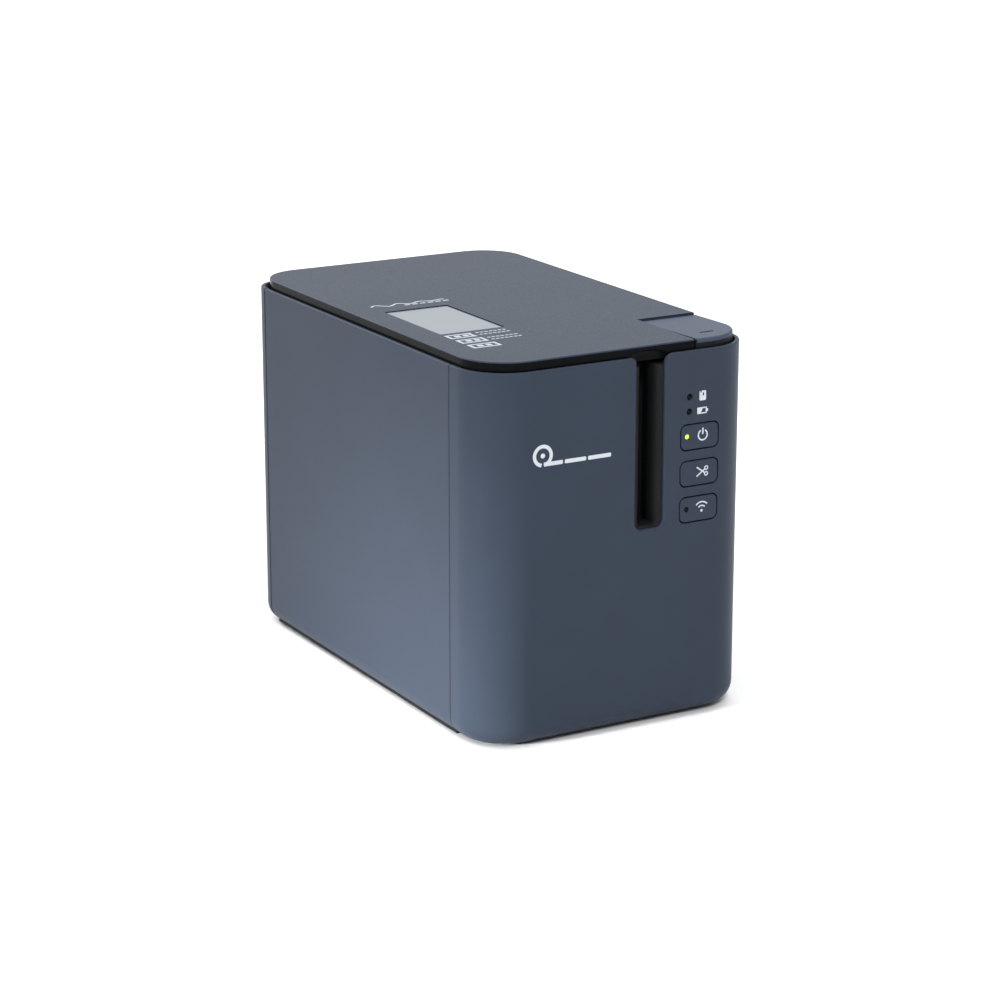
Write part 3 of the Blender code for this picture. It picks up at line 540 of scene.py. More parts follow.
rear_cover = casing_part("rear_cover_shell", block(-FAR, FAR, REAR_SEAM + SEAM / 2, FAR, 1.3, FAR))
notch = carve(
    drawn("notch", prism(casing_outline(1.0), DECK_TOP, 200)),
    "INTERSECT",
    block(-HINGE_NOTCH, HINGE_NOTCH, REAR_SEAM - 2, FAR, 0, FAR),
)
low_rim = block(-HINGE_NOTCH + 2.2, HINGE_NOTCH - 2.2, REAR_SEAM - 2, FAR, DECK_TOP, FAR)
carve(rear_cover, "DIFFERENCE", notch, low_rim)
for width, height, x in SOCKETS.values():
    half = width / 2 + 0.3
    window = rounded(x - half, x + half, SOCKET_LOW - 0.3, SOCKET_LOW + height + 0.3, 0.6, steps=4)
    carve(rear_cover, "DIFFERENCE", prism(window, 90, FAR, "Y"))
vents = bmesh.new()
for row in range(VENT_ROWS):
    z = VENT_LOW + VENT_PITCH * row
    for x0, x1 in (VENT_X, (-VENT_X[1], -VENT_X[0])):
        prism(rounded(x0, x1, z, z + VENT_HEIGHT, VENT_HEIGHT / 2 - 0.02), 90, FAR, "Y", vents)
carve(rear_cover, "DIFFERENCE", vents)
soften(rear_cover, 0.2)
place(rear_cover, slate_abs, "housing", "slate_shell", "rear_cover")


def copying_tree(name, inputs, sources):
    """Geometry Nodes: a piece copied to points, made real and given the finish. The inputs are
    named, and sources(tree, given) returns what the copying takes from them."""
    tree = bpy.data.node_groups.new(name, "GeometryNodeTree")
    tree.interface.new_socket("Geometry", in_out="OUTPUT", socket_type="NodeSocketGeometry")
    for label, kind in inputs.items():
        tree.interface.new_socket(label, in_out="INPUT", socket_type="NodeSocket" + kind)
    given = add_node(tree, "NodeGroupInput").outputs
    made = add_node(tree, "GeometryNodeInstanceOnPoints", sources(tree, given)).outputs[0]
    made = add_node(tree, "GeometryNodeRealizeInstances", {0: made}).outputs[0]
    finish = {"Geometry": made, "Material": given["Finish"]}
    made = add_node(tree, "GeometryNodeSetMaterial", finish).outputs[0]
    add_node(tree, "NodeGroupOutput", {"Geometry": made})
    return tree


def bar_sources(tree, given):
    """A row of points, with a bar for each."""
    row = {"Count": given["Count"], "Start Location": given["First Bar"], "Offset": given["Step"]}
    line = add_node(tree, "GeometryNodeMeshLine", row, mode="OFFSET")
    bar = add_node(tree, "GeometryNodeMeshCube", {"Size": given["Bar Size"]})
    return {"Points": line.outputs["Mesh"], "Instance": bar.outputs["Mesh"]}


row_of_bars = copying_tree(
    "row_of_bars",
    {"Count": "Int", "Bar Size": "Vector", "First Bar": "Vector", "Step": "Vector", "Finish": "Material"},
    bar_sources,
)


def run_tree(target, tree, values):
    """Runs a Geometry Nodes tree on an object and keeps its result as plain mesh."""
    modifier = target.modifiers.new("nodes", "NODES")
    modifier.node_group = tree
    for item in tree.interface.items_tree:
        if item.in_out == "INPUT" and item.name in values:
            modifier[item.identifier] = values[item.name]
    settle(target)
    return target


def bars(name, count, size, first, step, material):
    """A row of bars, in millimetres: their size, the middle of the first, and the step."""
    target = linked(name, bpy.data.meshes.new(name))
    values = {"Count": count, "Finish": material}
    for label, value in (("Bar Size", size), ("First Bar", first), ("Step", step)):
        values[label] = [a * MM for a in value]
    return run_tree(target, row_of_bars, values)


def joined(name, *pieces):
    """Several plain meshes as one object."""
    mesh = bmesh.new()
    for piece in pieces:
        mesh.from_mesh(piece.data)
        bpy.data.objects.remove(piece)
    return built(name, mesh)


louvres = []
for x in (-20.0, 20.0):
    first = (x, 92.9, VENT_LOW + VENT_HEIGHT / 2 + 2.2)
    louvres.append(bars("louvre_row", VENT_ROWS, (30.0, 0.8, 1.2), first, (0, 0, VENT_PITCH), black_abs))
place(joined("vent_louvres", *louvres), black_abs, "housing", "black_plastic")

# ---- Base tray, feet and screws -------------------------------------------------------
# A black ABS tray closes the bottom between the shells. Four rubber feet are glued in its
# recesses, and four cross-head tapping screws hold it to posts.


def body_of(node):
    """The name of the frame body that carries a node."""
    return next(body for body, nodes in frame["record"]["behaviour"]["bodies"].items() if node in nodes)


def slot_of(node):
    return next(p["material_slot"] for p in frame["record"]["subparts"] if p["node"] == node)


def refined(node, material, width, name=None, segments=2, sharp=32):
    """A copy of a frame node with its facets joined and its edges rounded, in its place."""
    mesh = bmesh.new()
    mesh.from_mesh(frame["nodes"][node].data)
    bmesh.ops.remove_doubles(mesh, verts=mesh.verts, dist=0.003 * MM)
    bmesh.ops.dissolve_limit(mesh, angle_limit=math.radians(0.6), verts=mesh.verts, edges=mesh.edges)
    made = soften(built(name or node + "_finished", mesh), width, segments, sharp)
    return place(made, material, body_of(node), slot_of(node), node)


refined("base_tray", black_abs, 0.15)

FOOT_RADIUS = 6.5
FOOT_SPOTS = [(x, y, 0) for y in (-68.0, 78.0) for x in (-42.0, 42.0)]


def copy_sources(tree, given):
    """The given points and piece, at the given size."""
    piece = add_node(tree, "GeometryNodeObjectInfo", {"Object": given["Piece"]})
    return {"Points": given["Points"], "Instance": piece.outputs["Geometry"], "Scale": given["Size"]}


copies_at_points = copying_tree(
    "copies_at_points",
    {"Points": "Geometry", "Piece": "Object", "Size": "Float", "Finish": "Material"},
    copy_sources,
)


def copies(name, piece, spots, material):
    """A piece drawn at the origin, copied to every spot given in millimetres."""
    data = bpy.data.meshes.new(name)
    data.from_pydata([[a * MM for a in spot] for spot in spots], [], [])
    target = linked(name, data)
    run_tree(target, copies_at_points, {"Piece": piece, "Size": 1.0, "Finish": material})
    bpy.data.objects.remove(piece)
    target.data.shade_smooth()
    target.data.set_sharp_from_angle(angle=math.radians(35))
    return target


def plain_finish(name, colour, roughness, scale, depth=0.0, metallic=0.0, change=0.05, **constants):
    """One moulded, drawn or printed surface: fine mottling of tone and gloss at a scale in
    millimetres, and a shallow relief of a depth in millimetres."""
    made, tree, shader = new_material(name, Metallic=metallic, **constants)
    spot = add_node(tree, "ShaderNodeTexCoord").outputs["Object"]
    noise = {"Vector": spot, "Scale": 1 / (scale * MM), "Detail": 3.0}
    mottle = add_node(tree, "ShaderNodeTexNoise", noise).outputs["Fac"]
    value = spread(tree, mottle, 1 - change, 1 + change)
    tint = add_node(tree, "ShaderNodeHueSaturation", {"Color": srgb(colour), "Value": value})
    tree.links.new(tint.outputs["Color"], shader.inputs["Base Color"])
    rough = spread(tree, mottle, max(roughness - 0.05, 0.02), roughness + 0.05)
    tree.links.new(rough, shader.inputs["Roughness"])
    if depth:
        relief = {"Height": mottle, "Strength": 0.5, "Distance": depth * MM}
        bump = add_node(tree, "ShaderNodeBump", relief)
        tree.links.new(bump.outputs["Normal"], shader.inputs["Normal"])
    return made


# Black rubber: dull, with a soft bloom that greys it slightly.
foot_rubber = plain_finish(
    "moulded_black_rubber", "1b1b1c", 0.8, 0.8, 0.02, change=0.12, Specular_IOR_Level=0.3
)
profile = [(4.6, 0.35), (5.0, 0.0), (FOOT_RADIUS - 0.6, 0.0), (FOOT_RADIUS - 0.15, 0.18)]
profile += [(FOOT_RADIUS, 0.6), (FOOT_RADIUS, 2.0)]
feet = copies("rubber_feet", drawn("foot", turned(profile, (0, 0))), FOOT_SPOTS, foot_rubber)
place(feet, foot_rubber, "housing", "rubber", "foot_1", "foot_2", "foot_3", "foot_4")

SCREW_SPOTS = [(x, y, 0) for x in (-45.0, 45.0) for y in (-48.0, 58.0)]
# Zinc-plated steel: bright, slightly blue, with a soft uneven sheen.
zinc_steel = plain_finish("zinc_plated_steel", "c4c7cb", 0.34, 3.0, metallic=1.0, change=0.06)
profile = [(2.0, 1.15), (2.5, 1.3), (2.9, 1.75), (2.9, 2.1), (1.25, 2.1)]
for turn in range(9):
    z = 2.6 + 0.7 * turn
    profile += [(1.1, z), (1.45, z + 0.3), (1.1, z + 0.6)]
screw = drawn("screw", turned(profile + [(0.7, 9.2)], (0, 0), steps=20))
cross = [(-0.3, -1.8), (0.3, -1.8), (0.3, 1.8), (-0.3, 1.8)]
carve(screw, "DIFFERENCE", prism(cross, 0, 1.9), prism([(-y, x) for x, y in cross], 0, 1.9))
screws = copies("base_screws", screw, SCREW_SPOTS, zinc_steel)
place(screws, zinc_steel, "housing", "zinc_steel", *(f"base_screw_{i}" for i in range(1, 5)))

refined("dock_connector", black_abs, 0.12)
# Gold flash on phosphor bronze: warm, smooth contacts.
gold_contact = plain_finish("gold_plated_contact", "d9b45c", 0.25, 1.0, metallic=1.0, change=0.04)
pads = bars("dock_contacts", 8, (1.2, 4.6, 0.5), (-11.2, -1.5, 2.6), (3.2, 0, 0), gold_contact)
place(pads, gold_contact, "housing", "brass")

# ---- Deck, hinges, lid switch and cassette well ---------------------------------------
# The black ABS deck snaps in under the rim and frames the cassette bay. Two steel pins run
# through its ears, and the well for the cassette hangs under it.

refined("inner_deck", black_abs, 0.25)
refined("cassette_well", black_abs, 0.25)
refined("hinge_pin_left", zinc_steel, 0.12)
refined("hinge_pin_right", zinc_steel, 0.12)
refined("lid_switch", black_abs, 0.15)

# ---- Tape cassette --------------------------------------------------------------------
# A two-part polystyrene cartridge, closed by pins. It holds the wound label tape and the
# ink ribbon, and its cover carries a printed paper sticker with plain bars.

# Grey polystyrene: satin, moulded in a polished tool, with a fine mottle.
cassette_grey = plain_finish("grey_polystyrene_satin", "8d9299", 0.38, 6.0, 0.01, change=0.03)
# Tape edge: thousands of thin turns, seen as fine rings round the hub.
label_tape = plain_finish("wound_label_tape", "dfe2e4", 0.45, 0.5, 0.02, change=0.04)
# Thermal ribbon: a black waxy film with a slight shine.
ink_ribbon = plain_finish("ink_ribbon_film", "151517", 0.28, 0.6, 0.02, change=0.1)
refined("cassette_case", cassette_grey, 0.3)
refined("cassette_cover", cassette_grey, 0.3)
refined("tape_roll", label_tape, 0.1)
refined("ribbon_spool", ink_ribbon, 0.1)

CASSETTE_TOP = 137.0
# Coated paper: white, smooth, slightly uneven.
sticker_paper = plain_finish("coated_sticker_paper", "e9ecee", 0.5, 4.0, 0.003, change=0.015)
sticker = drawn("cassette_sticker", prism(rounded(-49, 1, -38, 4, 2.0), CASSETTE_TOP, CASSETTE_TOP + 0.1))
carve(sticker, "DIFFERENCE", turned([(15.6, 130), (15.6, 150)], (-32, 30)))
place(sticker, sticker_paper, "housing", "label_tape")
# Screen ink: an even matt film.
grey_ink = plain_finish("grey_screen_ink", "6c7480", 0.6, 1.0, change=0.03)
marks = [
    bars("mark", 3, (20.0, 1.4, 0.06), (-34.0, -30.0, 137.13), (0, 3.4, 0), grey_ink),
    bars("mark", 12, (0.9, 7.0, 0.06), (-16.0, -27.0, 137.13), (1.4, 0, 0), grey_ink),
]
place(joined("cassette_sticker_print", *marks), grey_ink, "housing", "label_tape")
grips = [
    bars("grip", 7, (0.9, 10.0, 0.5), (x, 13.0, 137.15), (1.8, 0, 0), cassette_grey)
    for x in (-50.0, -4.0)
]
place(joined("cassette_grip_ribs", *grips), cassette_grey, "housing", "cassette_case")

# ---- Print head and feed train --------------------------------------------------------
# A ceramic thermal head on an aluminium sink faces a rubber platen roller on a sprung
# holder. A DC motor turns both through acetal spur gears on a plated steel plate.

# Acetal: milky white, waxy and slightly translucent.
white_acetal = plain_finish("white_acetal", "e4e4df", 0.36, 3.0, 0.005, change=0.02, Subsurface_Weight=0.15)
white_acetal.node_tree.nodes["Principled BSDF"].inputs["Subsurface Scale"].default_value = 0.002
# Extruded aluminium: pale satin, with fine drawing lines.
bare_aluminium = plain_finish("extruded_aluminium", "cfd2d5", 0.36, 0.9, 0.006, 1.0, 0.05)
# Glazed alumina: dark, smooth and hard.
head_ceramic = plain_finish("glazed_alumina", "2a2c30", 0.18, 2.0, change=0.06)
# Turned brass: warm, with a fine tool sheen.
turned_brass = plain_finish("turned_brass", "c9a356", 0.3, 0.6, 0.004, 1.0, 0.06)
# Drawn steel can: grey, with a slight vertical streak from drawing.
motor_steel = plain_finish("drawn_steel_can", "9a9da1", 0.32, 1.5, 0.004, 1.0, 0.07)
platen_rubber = plain_finish("ground_platen_rubber", "242526", 0.7, 0.6, 0.01, change=0.08)

refined("print_head", head_ceramic, 0.15)
refined("head_heat_sink", bare_aluminium, 0.12)
refined("gear_plate", zinc_steel, 0.2)
for node in ("idler_gear", "takeup_spindle", "platen_gear"):
    refined(node, white_acetal, 0.1)
refined("motor_pinion", turned_brass, 0.06)
refined("platen_holder", black_abs, 0.25)

PLATEN = (17.1, -52.0)
profile = [(2.3, 92.0), (5.2, 92.0), (5.46, 92.3), (5.46, 131.3), (5.2, 131.6), (2.3, 131.6)]
roller = drawn("platen_roller_rubber", turned(profile, PLATEN, closed=True, steps=56))
place(soften(roller, 0), platen_rubber, "platen", "rubber", "platen_roller")
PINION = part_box("feed_motor")
centre = [(PINION[0][i] + PINION[1][i]) / 2 / MM for i in range(2)]
profile = [(11.4, 40.0), (12.4, 40.25), (12.97, 41.1), (12.97, 44.0), (12.7, 44.2), (12.7, 44.8)]
profile += [(12.97, 45.0), (12.97, 70.9), (12.4, 71.5), (5.0, 71.5), (4.9, 72.7), (1.9, 72.7)]
profile += [(1.9, 60.0)]
motor = drawn("feed_motor_can", turned(profile, centre, steps=56))
place(soften(motor, 0), motor_steel, "housing", "motor_case", "feed_motor")

# ---- Tape cutter ----------------------------------------------------------------------
# A hardened blade swings past a fixed one like scissors. Its toothed sector is driven by a
# brass pinion on a small motor, all on one plated steel frame in front of the cassette.

# Hardened blade steel: finely ground, mirror-grey.
blade_steel = plain_finish("ground_blade_steel", "c6c9cc", 0.2, 0.7, 0.003, 1.0, 0.05)
refined("cutter_frame", zinc_steel, 0.15)
refined("fixed_blade", blade_steel, 0.08)
refined("cutter_blade", blade_steel, 0.08)
refined("cutter_pinion", turned_brass, 0.06)
refined("cutter_motor", motor_steel, 0.15)
refined("tape_guide", black_abs, 0.2)

# ---- Circuit boards -------------------------------------------------------------------
# FR4 boards with green solder resist carry the controller, the key switches and the radio
# module. Chips, capacitors and connectors are soldered to the main board.

# Green solder resist: glossy lacquer over copper tracks, which show as lighter lines.
resist, tree, shader = new_material("green_solder_resist", Roughness=0.3, IOR=1.5)
spot = add_node(tree, "ShaderNodeTexCoord").outputs["Object"]
cells = add_node(
    tree,
    "ShaderNodeTexVoronoi",
    {"Vector": spot, "Scale": 1 / (4 * MM), "Randomness": 0.35},
    distance="CHEBYCHEV",
    feature="DISTANCE_TO_EDGE",
)
tracks = add_node(tree, "ShaderNodeMath", {0: cells.outputs["Distance"], 1: 0.08}, operation="LESS_THAN")
shade = add_node(
    tree,
    "ShaderNodeMix",
    {"Factor": tracks.outputs[0], 6: srgb("12512e"), 7: srgb("1d6c40")},
    data_type="RGBA",
)
tree.links.new(shade.outputs[2], shader.inputs["Base Color"])
refined("main_board", resist, 0.0)
refined("panel_board", resist, 0.0)
# Nickel silver: pressed sheet with a pale, slightly warm sheen.
nickel_silver = plain_finish("pressed_nickel_silver", "c9c6bf", 0.3, 3.0, 0.01, 1.0, 0.05)
refined("wireless_module", nickel_silver, 0.2)
for node in ("power_tact_switch", "cut_tact_switch", "wireless_tact_switch"):
    refined(node, black_abs, 0.1)
chip_epoxy = plain_finish("chip_epoxy", "1f2022", 0.6, 0.8, 0.004, change=0.08)
chips = [
    bars("chip", 2, (14.0, 14.0, 1.6), (-28.0, 10.0, 14.4), (0, 26.0, 0), chip_epoxy),
    bars("chip", 6, (4.0, 3.0, 1.2), (-8.0, 6.0, 14.2), (0, 9.0, 0), chip_epoxy),
    bars("chip", 4, (6.0, 10.0, 1.4), (4.0, 8.0, 14.3), (0, 14.0, 0), chip_epoxy),
]
place(joined("board_chips", *chips), chip_epoxy, "housing", "black_plastic")
profile = [(3.4, 0), (3.6, 0.3), (3.6, 1.2), (3.3, 1.5), (3.6, 1.8), (3.6, 9.4), (3.2, 10)]
can = drawn("capacitor", turned(profile, (0, 0)))
spots = [(x, y, 13.7) for x in (36, 45) for y in (50, 60, 70)]
cans = copies("board_capacitors", can, spots, bare_aluminium)
place(cans, bare_aluminium, "housing", "aluminium")

# ---- Sockets --------------------------------------------------------------------------
# The rear sockets are bought parts: pressed nickel-silver shields round black polyamide
# cores with gold contacts, a black serial body, and a round jack for the power plug.

for node in SOCKETS:
    refined(node, black_abs if node in ("serial_socket", "power_jack") else nickel_silver, 0.15)
contacts = [
    bars("contact", 8, (0.5, 6.0, 0.3), (-44.6, 89.8, 17.25), (1.03, 0, 0), gold_contact),
    bars("contact", 4, (1.3, 6.0, 0.3), (-27.3, 90.2, 16.9), (2.5, 0, 0), gold_contact),
    bars("contact", 2, (1.0, 6.0, 0.3), (-9.4, 90.2, 20.6), (2.8, 0, 0), gold_contact),
]
place(joined("socket_contacts", *contacts), gold_contact, "housing", "brass")
tongues = [
    bars("tongue", 1, (10.6, 8.0, 1.5), (-23.5, 90.0, 17.9), (0, 0, 0), black_abs),
    bars("tongue", 1, (5.2, 8.0, 2.6), (-8.0, 90.0, 19.7), (0, 0, 0), black_abs),
]
place(joined("socket_tongues", *tongues), black_abs, "housing", "black_plastic")
pin = drawn("pin", turned([(0.5, 85.5), (0.5, 91.4), (0.3, 91.9)], (0, 0), "Y", steps=12))
spots = [(9.0 + 2.8 * i + 1.4 * row, 0, 19.1 + 2.8 * row) for row in range(2) for i in range(5 - row)]
place(copies("serial_pins", pin, spots, gold_contact), gold_contact, "housing", "brass")
pin = drawn("pin", turned([(1.0, 86.0), (1.0, 93.6), (0.7, 94.1)], (41.0, SOCKET_LOW + 5.5), "Y", steps=20))
place(soften(pin, 0), gold_contact, "housing", "brass")
nut = [(2.6, 95.38), (2.6, 95.95), (1.1, 95.95), (1.1, 95.38)]
nuts = []
for x in (3.6, 28.4):
    nuts.append(drawn("nut", turned(nut, (x, SOCKET_LOW + 6.25), "Y", closed=True, steps=6)))
place(joined("serial_jack_nuts", *nuts), zinc_steel, "housing", "zinc_steel")

# ---- Lid frame ------------------------------------------------------------------------
# The lid's black ABS frame comes from a polished tool, so its edge shows as a gloss band
# under the slate top. It carries the hinge knuckles and the hook for the latch.

LID_INSET = 1.9 + SKIN
LID_EDGE = -93.8
LID_FRONT = LID_EDGE + SKIN
LID_FRONT_RADIUS = 18.7
LID_REAR_RADIUS = 17.5
LID_REAR = 95.3 - SKIN
LID_LOW = 140.2
BAND_TOP = 145.40
POCKET = 144.72
POCKET_INSET = 0.5
WEB_LOW = 143.2
BAND = 1.8
HINGE = (92.6, 142.0)
WINDOW = (-45.4, -18.6, -40.4, 3.7)
BUTTON_X = 32.0
BUTTON_REAR = -55.5
BUTTON_GAP = 0.8


def lid_outline(inset):
    half_x = HALF_WIDTH - LID_INSET - inset
    radii = (LID_FRONT_RADIUS - inset, LID_REAR_RADIUS - inset)
    return rounded(-half_x, half_x, LID_FRONT + inset, LID_REAR - inset, *radii, CORNER_STEPS)


def corner_block(grow, low, high):
    """The corner of the lid that the release button fills, moved outwards by grow."""
    return block(BUTTON_X - grow, FAR, -FAR, BUTTON_REAR + grow, low, high)


lid_frame = drawn("lid_frame_moulding", prism(lid_outline(0.05), LID_LOW, BAND_TOP))
hollow = drawn("hollow", prism(lid_outline(BAND), 100, WEB_LOW))
carve(hollow, "DIFFERENCE", corner_block(2.6, 90, 150))
pocket = prism(lid_outline(POCKET_INSET), POCKET, FAR)
carve(lid_frame, "DIFFERENCE", hollow, pocket, corner_block(BUTTON_GAP, 100, FAR))
x0, x1, y0, y1 = WINDOW
carve(lid_frame, "DIFFERENCE", block(x0 + 1.5, x1 - 1.5, y0 + 1.5, y1 - 1.5, 100, FAR))
for station in (-40.0, 40.0):
    carve(lid_frame, "DIFFERENCE", block(station - 5.8, station + 5.8, HINGE[0] - 2.8, FAR, 130, FAR))
    arm = block(station - 2, station + 2, HINGE[0] - 5.2, HINGE[0], LID_LOW + 0.2, 144.2)
    knuckle = turned([(2.18, station - 2), (2.18, station + 2)], HINGE, "X")
    carve(lid_frame, "UNION", arm, knuckle)
    carve(lid_frame, "DIFFERENCE", turned([(1.2, station - 4), (1.2, station + 4)], HINGE, "X"))
hook = drawn("hook", block(25.5, 29.2, -90.0, -85.5, 131.5, WEB_LOW + 0.5))
carve(hook, "UNION", block(28.7, 30.6, -90.0, -85.5, 131.5, 134.0))
carve(lid_frame, "UNION", hook)
# A shallow thumb scoop in the band over the slot shows the way out of the tape.
SCOOP_Z = 141.0
SCOOP_REACH = (9.6, 3.3)
SCOOP_DEPTH = 1.3
scoop = []
for step in range(9):
    turn = math.radians(10 * step)
    wide, tall = (reach * math.cos(turn) for reach in SCOOP_REACH)
    outline = [(TAPE_X + wide * x, SCOOP_Z + tall * z) for x, z in circle((0, 0), 1.0, 48)]
    scoop.append((outline, LID_FRONT + 0.02 + SCOOP_DEPTH * math.sin(turn)))
carve(lid_frame, "DIFFERENCE", loft([(scoop[0][0], LID_FRONT - 2.0)] + scoop, "Y"))
soften(lid_frame, 0.2)


# Polished ABS: black, with a clear gloss that moulding flow makes very slightly uneven.
gloss_abs = plain_finish(
    "black_abs_polished", "0d0e10", 0.14, 9.0, 0.004, change=0.05, Specular_IOR_Level=0.035
)
place(lid_frame, gloss_abs, "lid", "gloss_black", "lid_frame")
# Moulded ribs stiffen the web from below.
ribs = [
    bars("rib", 4, (0.9, 134.0, 1.3), (-50.0, 16.0, WEB_LOW - 0.6), (31.0, 0, 0), gloss_abs),
    bars("rib", 2, (104.0, 0.9, 1.3), (0.0, 30.0, WEB_LOW - 0.6), (0, 30.0, 0), gloss_abs),
]
place(joined("lid_ribs", *ribs), gloss_abs, "lid", "gloss_black")

# ---- Lid top plate and window ---------------------------------------------------------
# A slate ABS plate is welded on the frame. A polycarbonate window, bonded in from below,
# lies slightly lower than the plate. It is drawn as a closed, pale panel.

PLATE_LOW = 144.84
PLATE_TOP = LID_TOP - SKIN
EDGE_ROLL = 0.5

seat = BAND_TOP + 0.04
rings = [(lid_outline(POCKET_INSET + 0.08), PLATE_LOW), (lid_outline(POCKET_INSET + 0.08), seat)]
rings += [(lid_outline(0), seat)]
rings += [(lid_outline(back), PLATE_TOP - drop) for back, drop in rolled_edge(EDGE_ROLL)]
plate = drawn("lid_top_plate_moulding", loft(rings))
carve(plate, "DIFFERENCE", corner_block(BUTTON_GAP, 100, FAR))
carve(plate, "DIFFERENCE", prism(rounded(x0 - 0.3, x1 + 0.3, y0 - 0.3, y1 + 0.3, 0.7), 100, FAR))
soften(plate, 0.12)
place(plate, slate_abs, "lid", "slate_lid", "lid_top_plate")

# Polycarbonate over a white tape label: a pale, cool, glossy panel, drawn opaque.
window_pc = plain_finish("polycarbonate_window", "757c85", 0.2, 14.0, change=0.025, Specular_IOR_Level=0.3)
rings = [(rounded(x0, x1, y0, y1, 0.5), 144.9)]
rings += [(rounded(x0 + b, x1 - b, y0 + b, y1 - b, 0.5), 145.6 - d) for b, d in rolled_edge(0.15)]
window = drawn("lid_window_pane", loft(rings))
place(soften(window, 0), window_pc, "lid", "window", "lid_window")

# ---- Printed marks --------------------------------------------------------------------
# Pale ink is pad printed on the front, the keys and the lid. It stands a few hundredths
# proud of the plastic. The marks are plain pictograms of tape, labels and functions.

INK = 0.02
# Pad-printing ink: pale grey, matt and even.
pale_ink = plain_finish("pale_pad_printing_ink", "c3cad1", 0.5, 1.5, change=0.02)
# The lid's ink is a greyer mix.
lid_ink = plain_finish("grey_pad_printing_ink", "a2aab2", 0.5, 1.5, change=0.02)


def printed(outline, face, axis):
    """Lays an outline of ink on a face; a front face looks to -Y and a top face to +Z."""
    low, high = (face - INK, face + 0.03) if axis == "Y" else (face - 0.03, face + INK)
    return prism(outline, low, high, axis)


def stroke(points, width):
    """A line of even width through points, as one closed outline."""
    left, right = [], []
    for i, point in enumerate(points):
        before = points[max(i - 1, 0)]
        after = points[min(i + 1, len(points) - 1)]
        along = Vector((after[0] - before[0], after[1] - before[1])).normalized()
        side = Vector((-along.y, along.x)) * width / 2
        left.append((point[0] + side.x, point[1] + side.y))
        right.append((point[0] - side.x, point[1] - side.y))
    return left + right[::-1]


def ring(centre, radius, width, start=0, end=360, steps=28):
    return stroke(arc(centre, radius, start, end, steps), width)


def ink_piece(name, shapes, face, axis, body):
    first, *others = (printed(shape, face, axis) for shape in shapes)
    mark = carve(drawn(name, first), "UNION", *others)
    slot = "slate_keys" if body.startswith("key") else "slate_lid" if body == "lid" else "slate_shell"
    return place(mark, lid_ink if body == "lid" else pale_ink, body, slot)


# Front: a roll with its tape running out to the right, cut into three labels.
roll = (-34.4, 111.0)
shapes = [ring(roll, 3.5, 1.35, -81, 261), rounded(roll[0] - 0.9, roll[0] + 0.9, 110.1, 111.9, 0.85)]
labels = ((-34.0, 8.0), (-25.2, 9.0), (-15.4, 9.8))
shapes += [rounded(x, x + length, 107.0, 108.5, 0.4) for x, length in labels]
ink_piece("front_roll_mark", shapes, FRONT_FACE, "Y", "housing")

# Beside the lamps: a cassette and a battery.
mark = ink_piece("cassette_lamp_mark", [rounded(32.5, 35.4, 123.1, 126.8, 0.5)], FRONT_FACE, "Y", "housing")
for hole in (rounded(33.9, 34.5, 124.9, 126.1, 0.15), rounded(32.9, 33.4, 126.1, 127.4, 0.15)):
    carve(mark, "DIFFERENCE", prism(hole, -FAR, -90, "Y"))
shapes = [stroke([(31.9, 118.1), (31.9, 120.5)], 0.5), stroke([(31.7, 120.3), (35.8, 120.3)], 0.45)]
shapes += [stroke([(31.7, 118.3), (35.8, 118.3)], 0.45), stroke([(35.6, 118.1), (35.6, 120.5)], 0.45)]
charge = [(31.9, 118.3), (33.2, 118.3), (34.1, 120.3), (31.9, 120.3)]
shapes += [stroke([(36.1, 118.8), (36.1, 119.8)], 0.6), charge]
ink_piece("battery_lamp_mark", shapes, FRONT_FACE, "Y", "housing")

# Keys: power, cut and wireless.
shapes = [ring((34.3, 109.95), 1.95, 0.55, 118, 422), stroke([(34.3, 110.2), (34.3, 112.6)], 0.6)]
ink_piece("power_mark", shapes, FRONT_FACE, "Y", "key_power")
shapes = [ring((36.1, 97.1), 0.66, 0.45), ring((36.1, 94.9), 0.66, 0.45)]
shapes += [stroke([(31.9, 94.2), (35.6, 96.8)], 0.5), stroke([(31.9, 97.8), (35.6, 95.2)], 0.5)]
ink_piece("cut_mark", shapes, FRONT_FACE, "Y", "key_cut")
fan = (34.4, 80.85)
shapes = [circle(fan, 0.52, 20)]
shapes += [ring(fan, radius, 0.55, 44, 136, 14) for radius in (1.9, 3.35)]
ink_piece("wireless_mark", shapes, FRONT_FACE, "Y", "key_wireless")

# Lid: a waving tape behind the window, and three rows of label pictograms before it.
wave = [(-46.0 + 1.1 * i, 14.0 + 1.9 * math.sin(0.72 * i) * (1 - i / 34)) for i in range(30)]
shapes = [stroke(wave, 0.95)]
shapes += [rounded(x, x + 2.4, 10.7, 12.0, 0.3) for x in (-33.0, -29.6, -26.2, -22.8, -19.4, -16.0)]
ink_piece("lid_tape_mark", shapes, PLATE_TOP, "Z", "lid")
shapes = []
for y, width in ((-46.6, 9.5), (-55.2, 10.0), (-63.8, 10.5)):
    shapes += [rounded(x - 1.2, x, y - 3, y + 3, 0.3) for x in (-44.8, -44.8 + width)]
    shapes += [rounded(-46, -34.8, y + 1.9, y + 3, 0.3), rounded(-46, -34.8, y - 3, y - 1.9, 0.3)]
    shapes += [rounded(-43.0, -40.6, y - 1.2, y + 1.2, 0.3), rounded(-39.4, -37.2, y - 1.2, y + 1.2, 0.3)]
ink_piece("lid_label_marks", shapes, PLATE_TOP, "Z", "lid")
rows = [
    bars("bar", 7, (1.4, 0.95, 0.04), (-32.4, y, PLATE_TOP), (1.9, 0, 0), lid_ink)
    for y in (-44.6, -47.8, -53.4, -56.6)
]
place(joined("lid_row_marks", *rows), lid_ink, "lid", "slate_lid")

